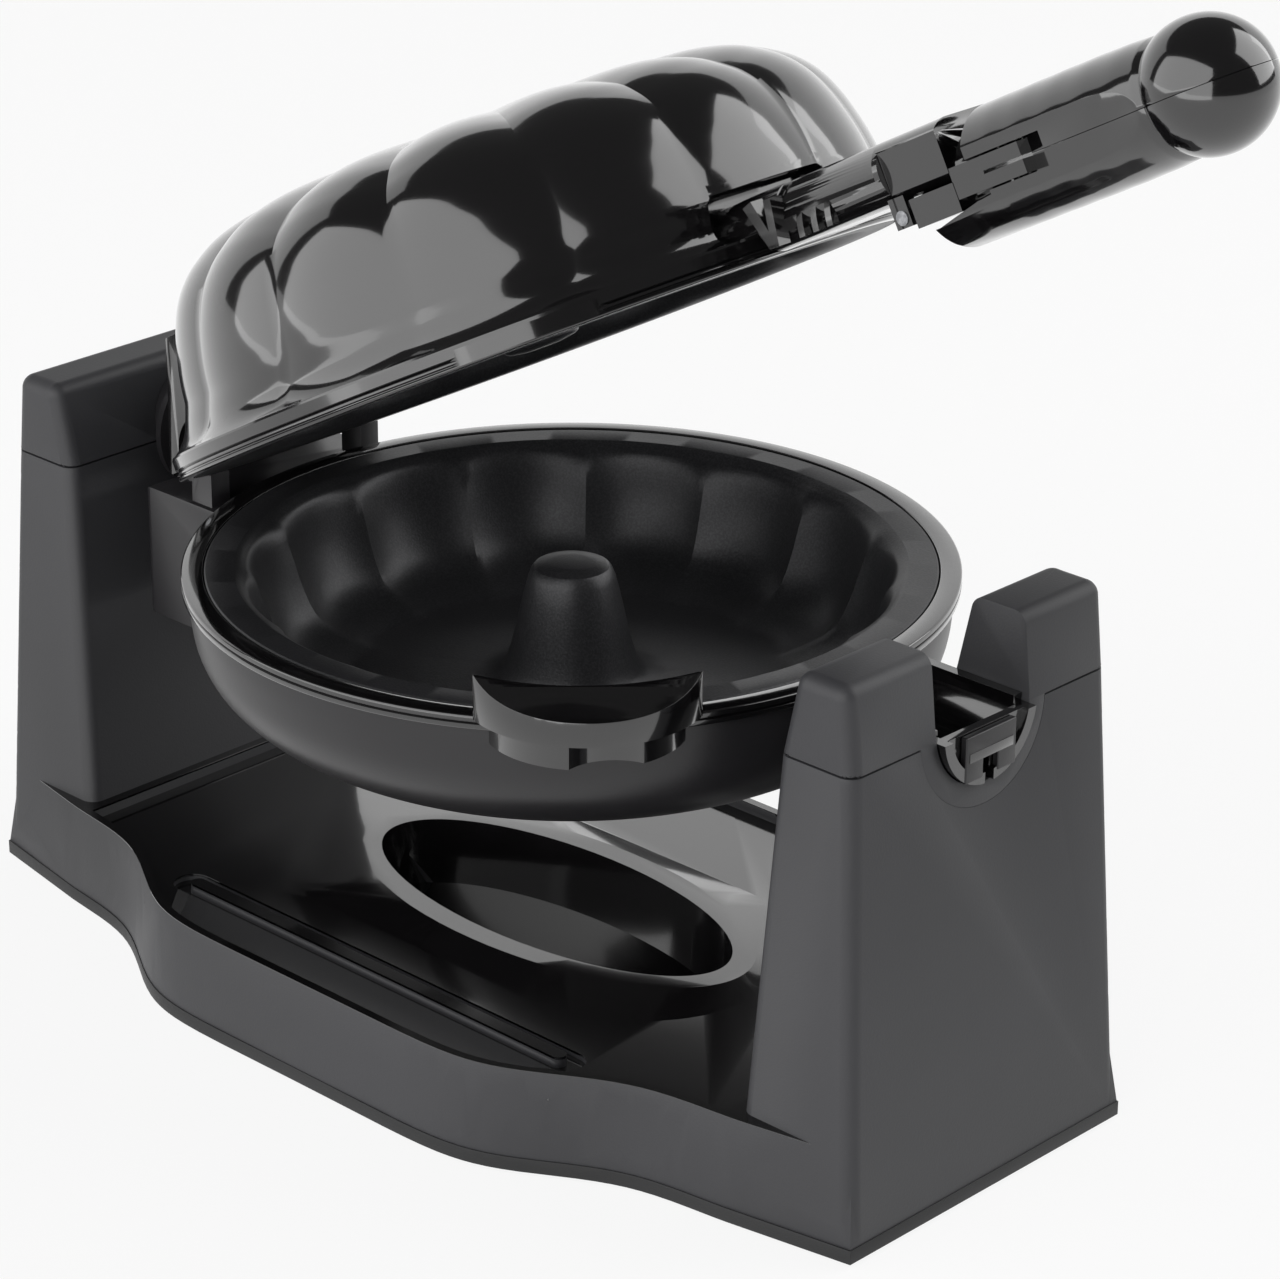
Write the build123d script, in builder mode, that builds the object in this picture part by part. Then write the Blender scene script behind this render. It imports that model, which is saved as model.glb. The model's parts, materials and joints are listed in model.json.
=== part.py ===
from build123d import *
import math
import os

# Rotary cake maker: a stand with two towers, a bowl that turns end over end between them,
# a fluted lid hinged to the bowl and a handle that slides on the lid's neck.
# Millimetres. X runs from the hub tower to the rest tower, the front is -Y, the table is Z = 0.

# Stand, overall
stand_length = 400.0
tower_depth = 128.5
front_bulge = 105.0
wall_top = 35.0
deck_drop = 4.0
plate_bottom = 1.2
plate_top = 6.0
axis_height = 159.0
seam_height = 156.0
tower_height = 184.0

# Stand, towers
tower_foot = 49.4
tower_seam = 29.4
tower_top = 20.0
outer_lean = 9.0
cap_lean = 3.0
depth_lean = 5.4
corner_round = 5.0
cap_round = 5.0
stand_wall = 3.0
deck_thick = 5.0
wall_draft = 4.0

# Rest for the neck, in the right tower
rest_radius = 21.5
collar_wall = 7.3
neck_gap = 0.3

# Deck details
well_length = 152.0
well_width = 66.0
well_floor = 12.0
well_shift = 10.0
well_collar = 8.0
platform_length = 206.0
platform_width = 106.0
platform_rise = 4.0
groove_length = 190.0
groove_width = 13.0
groove_depth = 2.2
groove_y = -73.0
rod_width = 5.0
rod_length = 176.0
boss_y = 84.0

# Turning unit: its rim fills the room left between the hub side block and the rest tower
neck_space = 17.6
block_gap = 15.6
block_depth = 40.0
hinge_reach = 12.0
hinge_rise = 11.0
opening_angle = 28.9

# Bowl
rim_lip = 2.5
rim_width = 7.0
rim_height = 5.0
bowl_depth = 56.0
bowl_floor_share = 0.47
bowl_wall = 2.4
closing_gap = 0.3

# Pans
flute_count = 15
rim_play = 0.4
pan_brim = 11.6
pan_step = 3.0
pan_wall = 2.2
pan_floor_share = 0.63
cone_radius = 22.0
cone_top_radius = 12.0
element_room = 2.4
flange_thick = 2.4

# Elements and thermostats
element_share = 0.58
element_thick = 6.4
element_gap_angle = 26.0
element_leg = 10.0
thermostat_radius = 9.0
thermostat_height = 5.0

# Lid
lid_rim_step = 2.5
lid_brim = 4.5
lid_height = 73.3
lid_shift = 6.0
shift_height = 22.0
lid_flange_low = 3.2
lid_flange_top = 8.0
lid_wall = 2.6
flute_depth = 5.0
dome_room = 2.0
pocket_half = 25.0
pocket_top = 23.0
pocket_wall_room = 1.0

# Hub
bush_bore = 15.0
bush_wall = 5.0
running_gap = 0.05
shaft_bore = 11.0
hub_disc = 16.0
hub_plate_thick = 4.0
clip_thick = 2.0

# Hinge
block_half = 40.0
block_top = 150.0
block_bottom = 104.0
ear_inner = 30.0
ear_thick = 8.0
knuckle_thick = 11.4
barrel_radius = 5.0
ear_room = 6.0
pin_radius = 2.5
side_gap = 0.3
lid_block_low = 6.5
lid_block_back = 20.0
lid_block_lean = 12.0
lid_block_reach = 40.0
lid_block_rise = 43.5
lid_block_half_top = 31.0

# Neck and handle
neck_wall = 3.6
neck_half = 18.5
neck_top = 19.0
rest_room = 1.0
neck_past_tower = 3.0
neck_past_stop = 28.5
lug_past_stop = 10.5
lug_drop = 8.0
tongue_length = 27.5
tongue_half = 4.6
slot_gap = 0.4
slot_run = 9.0
slide_travel = 5.0
grip_radius = 18.5
grip_gap = 7.5
grip_flat = 16.3
ball_radius = 19.6
ball_past_neck = 85.0
lip_past_lug = 5.0
lip_drop = 12.8
grip_wall = 3.6
neck_clear = 0.6
rib_past_seam = 1.4
rib_room = 1.2
hook_before_rib = 16.0
catch_past_stop = 6.0

# Tabs
tab_angle = -43.0
tab_gap = 2.3
tab_reach = 17.0
tab_half = 34.0
tab_low = 0.5
tab_high = 14.5
tab_lug = 9.5
dish_radius = 60.0
dish_low = 7.0
lid_tab_width = 6.8
lid_tab_half = 27.0
lid_tab_top = 6.0

# Fasteners and trim
screw_head = 3.4
screw_shank = 1.8
screw_head_thick = 1.6
screw_length = 7.5
screw_bite = 8.0
boss_wall = 1.6
head_level = 11.0
foot_radius = 9.0
foot_proud = 1.2
foot_seat = 1.8
bush_stand_off = 6.0
inlet_height = 22.0
inlet_radius = 6.0
inlet_flange = 2.0
cord_hole = 3.6
screw_circle_share = 0.43

# Worked out from the sizes above
half_length = stand_length / 2
half_depth = tower_depth / 2
inner_foot = half_length - tower_foot
inner_seam = half_length - outer_lean - tower_seam
outer_seam = half_length - outer_lean
outer_top = outer_seam - cap_lean
inner_top = outer_top - tower_top
half_seam = half_depth - depth_lean
block_back = -inner_seam + block_gap
rim_left = block_back + block_depth
rim_right = inner_seam - neck_space
rim_radius = (rim_right - rim_left) / 2
unit_x = (rim_right + rim_left) / 2
hinge_x = rim_left - hinge_reach
bowl_radius = rim_radius - rim_lip
bowl_floor_radius = bowl_radius * bowl_floor_share
rim_inner = rim_radius - rim_width
pan_flange = rim_inner - rim_play
pan_radius = pan_flange - pan_brim
pan_shoulder = pan_radius - pan_step
pan_floor_radius = pan_radius * pan_floor_share
pan_depth = bowl_depth - closing_gap - pan_wall - element_thick - element_room - bowl_wall
element_radius = pan_radius * element_share
screw_circle = pan_radius * screw_circle_share
lid_radius = rim_radius - lid_rim_step
dome_radius = lid_radius - lid_brim
lid_flange_inner = dome_radius - lid_wall
upper_pan_depth = lid_height - lid_wall - element_thick - thermostat_height - pan_wall - dome_room
lid_block_high = lid_block_low + lid_block_rise
pocket_back = unit_x + pan_shoulder + pan_wall + pocket_wall_room + lid_wall
tab_inner = rim_radius + tab_gap
lid_tab_inner = rim_inner + 2
lid_tab_reach = lid_tab_inner + lid_tab_width
neck_stop = outer_seam + neck_past_tower
neck_end = neck_stop + neck_past_stop
lug_start = neck_stop + lug_past_stop
lip_start = lug_start + lip_past_lug
pin_x = neck_stop + catch_past_stop
rib_start = inner_seam + rib_past_seam
hook_x = rib_start - hook_before_rib
ball_x = neck_end + ball_past_neck
deck_top = wall_top - deck_drop
collar_radius = rest_radius + collar_wall
neck_radius = rest_radius - neck_gap
flute_step = 360 / flute_count
unit_axis = Axis((unit_x, 0, 0), (0, 0, 1))
turn_axis = Axis((0, 0, axis_height), (1, 0, 0))


def lean(at_foot, at_seam, height):
    """A tower size at a height, between its foot and the cap's seam."""
    return at_foot + (at_seam - at_foot) * height / seam_height


def unit_level(height):
    """The level plane at the bowl's centre, measured from the closing plane."""
    return Plane((unit_x, 0, axis_height + height))


def upright(x, z):
    """A point of the XZ plane, with its height measured from the closing plane."""
    return (x, axis_height + z)


def tower_section(side, height, inner, outer, half, inset=0.0):
    """A level section of a tower. side is 1 for the rest tower and -1 for the hub tower."""
    with BuildSketch(Plane.XY.offset(height)) as section:
        with Locations((side * (inner + outer) / 2, 0)):
            RectangleRounded(
                outer - inner - 2 * inset,
                2 * (half - inset),
                max(corner_round - inset, 1.0),
            )
    return section.sketch


def tower_form(side, low, high, inset=0.0, mode=Mode.ADD):
    """The leaning tower below the cap, from one height to another."""
    sections = []
    for height in (low, high):
        inner = lean(inner_foot, inner_seam, height)
        outer = lean(half_length, outer_seam, height)
        half = lean(half_depth, half_seam, height)
        sections.append(tower_section(side, height, inner, outer, half, inset))
    loft(sections, mode=mode)


def base_outline(inset, height, reach=None):
    """The stand's plan, with its bulging front and back. reach keeps it between the towers."""
    corner = (-(half_length - inset), -(half_depth - inset))
    shoulder = (-half_length * 0.8, -(half_depth + 7.0 - inset))
    waist = (-half_length * 0.6, -(half_depth + 0.35 * (front_bulge - half_depth) - inset))
    hip = (-half_length * 0.46, -(half_depth + 0.72 * (front_bulge - half_depth) - inset))
    belly = (0, -(front_bulge - inset))
    with BuildSketch(Plane.XY.offset(height)) as outline:
        with BuildLine():
            Line(corner, shoulder)
            Spline(shoulder, waist, hip, belly, tangents=((1, -0.2), (1, 0)))
            mirror(about=Plane.XZ)
            Line(corner, (corner[0], -corner[1]))
            mirror(about=Plane.YZ)
        make_face()
        if reach is not None:
            Rectangle(2 * reach, 3 * front_bulge, mode=Mode.INTERSECT)
    return outline.sketch


def bowl_form(inset, mode=Mode.ADD):
    """The bowl's round outside, or its inside when inset by the wall."""
    side = bowl_radius - inset
    floor = -bowl_depth + inset
    straight = bowl_depth * 0.22
    with BuildSketch(Plane.XZ) as half:
        with BuildLine():
            Polyline(upright(unit_x, 0), upright(unit_x + side, 0), upright(unit_x + side, -straight))
            Spline(
                upright(unit_x + side, -straight),
                upright(unit_x + side * 0.965, -bowl_depth * 0.48 + inset * 0.3),
                upright(unit_x + side * 0.86, -bowl_depth * 0.75 + inset * 0.7),
                upright(unit_x + side * 0.68, -bowl_depth * 0.92 + inset),
                upright(unit_x + bowl_floor_radius, floor),
                tangents=((0, -1), (-1, 0)),
            )
            Polyline(upright(unit_x + bowl_floor_radius, floor), upright(unit_x, floor), upright(unit_x, 0))
        make_face()
    revolve(half.sketch, axis=unit_axis, mode=mode)


def flute_ring(height, radius, depth, shift=0.0):
    """A level section with one outward arc a flute, meeting in creases depth deep."""
    with BuildSketch(unit_level(height)) as ring:
        with BuildLine():
            for flute in range(flute_count):
                start = math.radians(180 + flute * flute_step)
                middle = start + math.radians(flute_step / 2)
                end = start + math.radians(flute_step)
                crease = radius - depth
                ThreePointArc(
                    (shift + crease * math.cos(start), crease * math.sin(start)),
                    (shift + radius * math.cos(middle), radius * math.sin(middle)),
                    (shift + crease * math.cos(end), crease * math.sin(end)),
                )
        make_face()
    return ring.sketch


def fluted_form(rings, mode=Mode.ADD):
    """A smooth fluted solid through rings of height, radius, flute depth and shift."""
    loft([flute_ring(*ring) for ring in rings], mode=mode)


def x_rod(x_from, x_to, radius, mode=Mode.ADD):
    """A round bar on the turning axis."""
    with BuildSketch(Plane.YZ.offset(x_from)) as end:
        with Locations((0, axis_height)):
            Circle(radius)
    extrude(end.sketch, amount=x_to - x_from, mode=mode)


def x_block(x_from, x_to, half, low, high, mode=Mode.ADD):
    """A box along the turning axis, level heights measured from the closing plane."""
    with BuildSketch(Plane.YZ.offset(x_from)) as end:
        with Locations((0, axis_height + (low + high) / 2)):
            Rectangle(2 * half, high - low)
    extrude(end.sketch, amount=x_to - x_from, mode=mode)


# Stand body: skirt, deck, hollow towers, oval well, groove and rod
boss_reach = inner_foot * 0.62
boss_places = [(x, y) for x in (-boss_reach, 0, boss_reach) for y in (-boss_y, boss_y)]
with BuildPart() as stand_body:
    loft([base_outline(0.4, plate_top), base_outline(wall_draft, wall_top)], ruled=True)
    sunk_deck = base_outline(wall_draft + stand_wall, deck_top, reach=inner_foot - 1)
    extrude(sunk_deck, amount=deck_drop + 1, mode=Mode.SUBTRACT)
    for side in (-1, 1):
        tower_form(side, plate_top, seam_height)
    under_low = base_outline(stand_wall + 0.6, plate_top)
    under_high = base_outline(stand_wall + wall_draft, deck_top - deck_thick)
    loft([under_low, under_high], ruled=True, mode=Mode.SUBTRACT)
    for side in (-1, 1):
        tower_form(side, plate_top, seam_height, inset=stand_wall, mode=Mode.SUBTRACT)
    with BuildSketch(Plane.XY.offset(deck_top)):
        SlotOverall(platform_length, platform_width)
    with BuildSketch(Plane.XY.offset(deck_top + platform_rise)):
        with Locations((well_shift, 0)):
            Ellipse(well_length / 2 + well_collar, well_width / 2 + well_collar)
    loft()
    with BuildSketch(Plane.XY.offset(well_floor - stand_wall)):
        with Locations((well_shift, 0)):
            Ellipse(well_length / 2 + stand_wall, well_width / 2 + stand_wall)
    extrude(amount=deck_top - well_floor + stand_wall)
    with BuildSketch(Plane.XY.offset(well_floor)):
        with Locations((well_shift, 0)):
            Ellipse(well_length / 2 - 3, well_width / 2 - 3)
    with BuildSketch(Plane.XY.offset(deck_top + platform_rise)):
        with Locations((well_shift, 0)):
            Ellipse(well_length / 2, well_width / 2)
    loft(mode=Mode.SUBTRACT)
    with BuildSketch(Plane.XY.offset(deck_top - groove_depth)):
        with Locations((0, groove_y)):
            SlotOverall(groove_length, groove_width)
    extrude(amount=groove_depth + 0.01, mode=Mode.SUBTRACT)
    with BuildSketch(Plane.XY.offset(deck_top - groove_depth)):
        with Locations((0, groove_y)):
            SlotOverall(rod_length, rod_width)
    extrude(amount=groove_depth + 1.4)
    with BuildSketch(Plane.XY.offset(plate_top)):
        with Locations(*boss_places):
            Circle(screw_head + boss_wall)
    extrude(amount=deck_top - deck_thick - plate_top + 0.5)
    with BuildSketch(Plane.XY.offset(plate_top)):
        with Locations(*boss_places):
            Circle(screw_shank)
    extrude(amount=10, mode=Mode.SUBTRACT)
    x_rod(inner_foot - 5, half_length + 5, collar_radius, mode=Mode.SUBTRACT)
    x_rod(-inner_foot + 5, -inner_seam - stand_wall - 2, bush_bore + bush_wall, mode=Mode.SUBTRACT)
    with BuildSketch(Plane.YZ.offset(-half_length - 1)):
        with Locations((0, inlet_height)):
            Circle(inlet_radius)
    extrude(amount=stand_wall + 8, mode=Mode.SUBTRACT)

# Bottom plate, with feet recesses and countersunk holes for its screws
foot_x = half_length - 30
foot_y = half_depth - 20
foot_places = [(-foot_x, -foot_y), (-foot_x, foot_y), (foot_x, -foot_y), (foot_x, foot_y)]
with BuildPart() as bottom_plate:
    extrude(base_outline(0, plate_bottom), amount=plate_top - plate_bottom)
    with BuildSketch(Plane.XY.offset(plate_bottom)):
        with Locations(*foot_places):
            Circle(foot_radius)
    extrude(amount=foot_seat, mode=Mode.SUBTRACT)
    with BuildSketch(Plane.XY.offset(plate_bottom)):
        with Locations(*boss_places):
            Circle(screw_head)
    extrude(amount=screw_head_thick, mode=Mode.SUBTRACT)
    with BuildSketch(Plane.XY.offset(plate_bottom)):
        with Locations(*boss_places):
            Circle(screw_shank)
    extrude(amount=plate_top, mode=Mode.SUBTRACT)

with BuildPart() as rubber_feet:
    with BuildSketch(Plane.XY):
        with Locations(*foot_places):
            Circle(foot_radius)
    extrude(amount=foot_proud + foot_seat)

with BuildPart() as base_screws:
    with BuildSketch(Plane.XY.offset(plate_bottom)):
        with Locations(*boss_places):
            Circle(screw_head)
    extrude(amount=screw_head_thick)
    with BuildSketch(Plane.XY.offset(plate_bottom)):
        with Locations(*boss_places):
            Circle(screw_shank)
    extrude(amount=plate_top - plate_bottom + screw_bite)


def cap_form(side, inset=0.0, mode=Mode.ADD):
    """A tower cap's outside, or its inside when inset by the wall."""
    low = tower_section(side, seam_height, inner_seam, outer_seam, half_seam, inset)
    high = tower_section(side, tower_height - inset, inner_top, outer_top, half_seam, inset)
    loft([low, high], mode=mode)


with BuildPart() as left_tower_cap:
    cap_form(-1)
    fillet(left_tower_cap.faces().sort_by(Axis.Z)[-1].edges(), cap_round)
    cap_form(-1, inset=stand_wall, mode=Mode.SUBTRACT)
    x_rod(-inner_foot + 5, -inner_seam - stand_wall - 6, bush_bore + bush_wall, mode=Mode.SUBTRACT)

# The right cap carries the U-shaped rest, whose collar comes down through the tower
with BuildPart() as right_tower_cap:
    tower_form(1, axis_height - collar_radius - 5, seam_height)
    with BuildSketch(Plane.YZ.offset(inner_foot)):
        with Locations((0, axis_height)):
            Circle(collar_radius)
    extrude(amount=tower_foot + 5, mode=Mode.INTERSECT)
    cap_form(1)
    fillet(right_tower_cap.faces().sort_by(Axis.Z)[-1].edges(), cap_round)
    for y_side in (-1, 1):
        with BuildSketch(Plane.XY.offset(seam_height)):
            with Locations(((inner_seam + outer_seam) / 2, y_side * (half_seam + collar_radius) / 2)):
                Rectangle(tower_top - 2 * stand_wall, half_seam - collar_radius - 2 * stand_wall)
        extrude(amount=tower_height - seam_height - 2 * stand_wall, mode=Mode.SUBTRACT)
    x_rod(inner_foot - 5, half_length + 5, rest_radius, mode=Mode.SUBTRACT)
    x_block(inner_foot - 5, half_length + 5, rest_radius, 0, tower_height, mode=Mode.SUBTRACT)

# Hub: the bush is clamped between the left tower and its cap
bush_outside = -inner_foot - bush_stand_off
bush_inside = -inner_seam - stand_wall - bush_stand_off
with BuildPart() as hub_bush:
    x_rod(bush_inside, bush_outside, bush_bore + bush_wall)
    x_rod(bush_outside - flange_thick, bush_outside, bush_bore + bush_wall + 3)
    x_rod(bush_inside - 1, bush_outside + 1, bush_bore + running_gap, mode=Mode.SUBTRACT)

with BuildPart() as hub_shaft:
    x_rod(bush_inside - side_gap - clip_thick - 3, block_back, bush_bore)
    x_rod(block_back - hub_plate_thick, block_back, hub_disc)
    hub_plate_low = block_bottom + 8 - axis_height
    x_block(block_back - hub_plate_thick, block_back, hub_disc, hub_plate_low, 0)
    x_rod(bush_inside - 20, block_back + 1, shaft_bore, mode=Mode.SUBTRACT)
    clip_x = bush_inside - side_gap - clip_thick
    x_rod(clip_x, clip_x + clip_thick, bush_bore + 1, mode=Mode.SUBTRACT)
    x_rod(clip_x, clip_x + clip_thick, bush_bore - 1.5)
    x_rod(bush_inside - 20, block_back + 1, shaft_bore, mode=Mode.SUBTRACT)

with BuildPart() as hub_clip:
    x_rod(clip_x, clip_x + clip_thick, bush_bore + 3)
    x_rod(clip_x, clip_x + clip_thick, bush_bore - 1.5, mode=Mode.SUBTRACT)
    x_block(clip_x - 1, clip_x + clip_thick + 1, bush_bore - 4, -bush_bore - 4, 0, mode=Mode.SUBTRACT)

# Cord inlet low on the outer face of the hub tower
with BuildPart() as cord_grommet:
    inlet_face = lean(half_length, outer_seam, inlet_height)
    with BuildSketch(Plane.YZ.offset(-inlet_face - inlet_flange)):
        with Locations((0, inlet_height)):
            Circle(inlet_radius + inlet_flange)
    extrude(amount=2 * inlet_flange)
    tower_form(-1, plate_top, seam_height, mode=Mode.SUBTRACT)
    with BuildSketch(Plane.YZ.offset(-inlet_face - inlet_flange)):
        with Locations((0, inlet_height)):
            Circle(inlet_radius)
    extrude(amount=2 * inlet_flange + stand_wall + 1)
    with BuildSketch(Plane.YZ.offset(-inlet_face - 2 * inlet_flange)):
        with Locations((0, inlet_height)):
            Circle(cord_hole)
    extrude(amount=20, mode=Mode.SUBTRACT)

# Bowl housing, with its bosses and screw holes
screw_ring = PolarLocations(screw_circle, 4, start_angle=45)
with BuildPart() as bowl_housing:
    bowl_form(0)
    bowl_form(bowl_wall, mode=Mode.SUBTRACT)
    with BuildSketch(unit_level(-bowl_depth)):
        with screw_ring:
            Circle(screw_head + boss_wall)
    extrude(amount=bowl_depth - closing_gap - pan_depth - pan_wall)
    with BuildSketch(unit_level(-bowl_depth)):
        with screw_ring:
            Circle(screw_head)
    extrude(amount=screw_head_thick, mode=Mode.SUBTRACT)
    with BuildSketch(unit_level(-bowl_depth)):
        with screw_ring:
            Circle(screw_shank)
    extrude(amount=screw_length, mode=Mode.SUBTRACT)
    with BuildSketch(unit_level(-rim_height)):
        Circle(bowl_radius + 5)
    extrude(amount=rim_height + 1, mode=Mode.SUBTRACT)

with BuildPart() as lower_screws:
    with BuildSketch(unit_level(-bowl_depth)):
        with screw_ring:
            Circle(screw_head)
    extrude(amount=screw_head_thick)
    with BuildSketch(unit_level(-bowl_depth)):
        with screw_ring:
            Circle(screw_shank)
    extrude(amount=screw_length)


def rim_ring(low, high, bead, radius):
    """A rim of two thin steps with a groove between them, low and high from the closing plane."""
    middle = (low + high) / 2
    with BuildSketch(Plane.XZ) as half:
        with BuildLine():
            Polyline(
                upright(unit_x + rim_inner, low),
                upright(unit_x + radius - bead, low),
                upright(unit_x + radius, low + bead),
                upright(unit_x + radius, middle - bead / 2),
                upright(unit_x + radius - bead, middle),
                upright(unit_x + radius, middle + bead / 2),
                upright(unit_x + radius, high - bead),
                upright(unit_x + radius - bead, high),
                upright(unit_x + rim_inner, high),
                upright(unit_x + rim_inner, low),
            )
        make_face()
    revolve(half.sketch, axis=unit_axis)


with BuildPart() as bowl_rim:
    rim_ring(-rim_height, -closing_gap, 0.8, rim_radius)


def ring_element(level):
    """A tubular heating ring with two cold legs towards the hub."""
    reach = element_radius + element_leg
    spread = element_radius * math.sin(math.radians(element_gap_angle / 2))
    along = element_radius * math.cos(math.radians(element_gap_angle / 2))
    gap_place = (unit_x - along, spread, axis_height + level)
    with BuildSketch(Plane(gap_place, x_dir=(-along, spread, 0), z_dir=(spread, along, 0))) as tube:
        Circle(element_thick / 2)
    revolve(tube.sketch, axis=unit_axis, revolution_arc=360 - element_gap_angle)
    for y_side in (-1, 1):
        with BuildSketch(Plane.YZ.offset(unit_x - reach)) as leg:
            with Locations((y_side * spread, axis_height + level)):
                Circle(element_thick / 2)
        extrude(leg.sketch, amount=reach - along)
        with Locations((unit_x - along, y_side * spread, axis_height + level)):
            Sphere(element_thick / 2)


def pan_rings(depth, inset):
    """Fluted rings of a ring pan, from its mouth to its floor."""
    return [
        (0, pan_radius - inset, 0.4),
        (depth * 0.12, pan_shoulder - inset, 2.4),
        (depth * 0.5, pan_shoulder - 3 - inset, 4.0),
        (depth * 0.85, pan_shoulder - 12 - inset, 4.0),
        (depth, pan_floor_radius + 8 - inset, 3.0),
    ]


def pan(depth):
    """A fluted ring pan with a hollow cone. depth is below the closing plane when it is negative."""
    sign = 1 if depth > 0 else -1
    start = sign * closing_gap
    fluted_form([(start + h, r, d) for h, r, d in pan_rings(depth + sign * pan_wall, -pan_wall)])
    with BuildSketch(unit_level(start)) as flange:
        Circle(pan_flange)
    extrude(flange.sketch, amount=sign * flange_thick)
    hollow = [(start + h, r, d) for h, r, d in pan_rings(depth, 0)]
    hollow[0] = (start - sign * 0.5, hollow[0][1], hollow[0][2])
    fluted_form(hollow, mode=Mode.SUBTRACT)
    bottom = start + depth
    with BuildSketch(unit_level(bottom)) as cone_foot:
        Circle(cone_radius)
    with BuildSketch(unit_level(start + sign * 3)) as cone_tip:
        Circle(cone_top_radius)
    loft([cone_foot.sketch, cone_tip.sketch])
    with BuildSketch(unit_level(bottom + sign * (pan_wall + 1))) as core_foot:
        Circle(cone_radius - pan_wall)
    with BuildSketch(unit_level(start + sign * (3 + pan_wall))) as core_tip:
        Circle(cone_top_radius - pan_wall)
    loft([core_foot.sketch, core_tip.sketch], mode=Mode.SUBTRACT)


with BuildPart() as lower_pan:
    pan(-pan_depth)

with BuildPart() as lower_element:
    ring_element(-(closing_gap + pan_depth + pan_wall + element_thick / 2))


def thermostat(level):
    """A button thermostat on a pan's back, level measured from the closing plane."""
    with BuildSketch(unit_level(level)) as button:
        with Locations((element_radius * 0.62, 0)):
            Circle(thermostat_radius)
    extrude(button.sketch, amount=thermostat_height)


with BuildPart() as lower_thermostat:
    thermostat(-(closing_gap + pan_depth + pan_wall + thermostat_height))


def cross_rod(x, z, radius, half_from, half_to, mode=Mode.ADD):
    """A round bar across the machine on both sides, z measured from the closing plane."""
    for side in (-1, 1):
        with BuildSketch(Plane.XZ.offset(side * half_from)) as end:
            with Locations(upright(x, z)):
                Circle(radius)
        extrude(end.sketch, amount=side * (half_to - half_from), mode=mode)


def cross_block(x_from, x_to, low, high, half_from, half_to, mode=Mode.ADD):
    """A box on both sides of the machine, heights measured from the closing plane."""
    for side in (-1, 1):
        with BuildSketch(Plane.XZ.offset(side * half_from)) as end:
            with Locations(upright((x_from + x_to) / 2, (low + high) / 2)):
                Rectangle(x_to - x_from, high - low)
        extrude(end.sketch, amount=side * (half_to - half_from), mode=mode)


def rim_clear(radius, low, high):
    """Takes the room of a round rim out of a piece that stands against it."""
    with BuildSketch(unit_level(low)) as disc:
        Circle(radius)
    extrude(disc.sketch, amount=high - low, mode=Mode.SUBTRACT)


# Lower rear block with its two hinge ears
ear_outer = ear_inner + ear_thick
with BuildPart() as hinge_block:
    block_front = unit_x - bowl_radius * 0.75
    x_block(block_back, block_front, block_half, block_bottom - axis_height, block_top - axis_height)
    fillet(hinge_block.faces().sort_by(Axis.X)[0].edges(), 3.5)
    bowl_form(0, mode=Mode.SUBTRACT)
    rim_clear(rim_radius, -rim_height, 0)
    ear_foot = block_top - axis_height - 1
    barrel_left = hinge_x - barrel_radius
    barrel_right = hinge_x + barrel_radius
    cross_block(barrel_left, barrel_right, ear_foot, hinge_rise, ear_inner, ear_outer)
    cross_rod(hinge_x, hinge_rise, barrel_radius, ear_inner, ear_outer)
    cross_rod(hinge_x, hinge_rise, pin_radius, ear_inner - 1, ear_outer + 1, mode=Mode.SUBTRACT)

with BuildPart() as hinge_pin:
    cross_rod(hinge_x, hinge_rise, pin_radius, 0, ear_outer + 1)

# Half-round neck that lies in the rest, with a slotted end plate and the tab that the handle hooks under
with BuildPart() as bowl_neck:
    neck_root = unit_x + bowl_radius * 0.9
    x_rod(neck_root, neck_stop, neck_radius)
    x_rod(neck_root, neck_stop + 1, neck_radius - neck_wall, mode=Mode.SUBTRACT)
    x_rod(neck_stop - 5, neck_stop - 2, neck_radius - neck_wall / 2)
    x_block(neck_stop - 10, neck_stop + 5, 2, -neck_radius, -neck_radius * 0.55, mode=Mode.SUBTRACT)
    x_block(neck_root - 1, neck_stop + 1, 2 * neck_radius, -neck_clear, neck_radius + 1, mode=Mode.SUBTRACT)
    x_block(neck_stop - 6, neck_stop + 3, 2 * neck_radius, -3, 0, mode=Mode.SUBTRACT)
    x_block(neck_stop - 5, lip_start - 1.5, 10, -lip_drop + 0.8, -lip_drop + 3.8)
    bowl_form(0, mode=Mode.SUBTRACT)
    rim_clear(rim_radius, -rim_height, 0)


def crescent(height, inner, outer, half_width):
    """A level crescent at the tab's angle, between the rim's round and a flatter outer arc."""
    turn = math.radians(tab_angle)
    corner = math.sqrt(inner**2 - half_width**2)
    along = (math.cos(turn), math.sin(turn), 0)
    with BuildSketch(Plane((unit_x, 0, axis_height + height), x_dir=along, z_dir=(0, 0, 1))) as lens:
        with BuildLine():
            ThreePointArc((corner, -half_width), (inner, 0), (corner, half_width))
            ThreePointArc((corner, half_width), (outer, 0), (corner, -half_width))
        make_face()
    return lens.sketch


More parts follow.
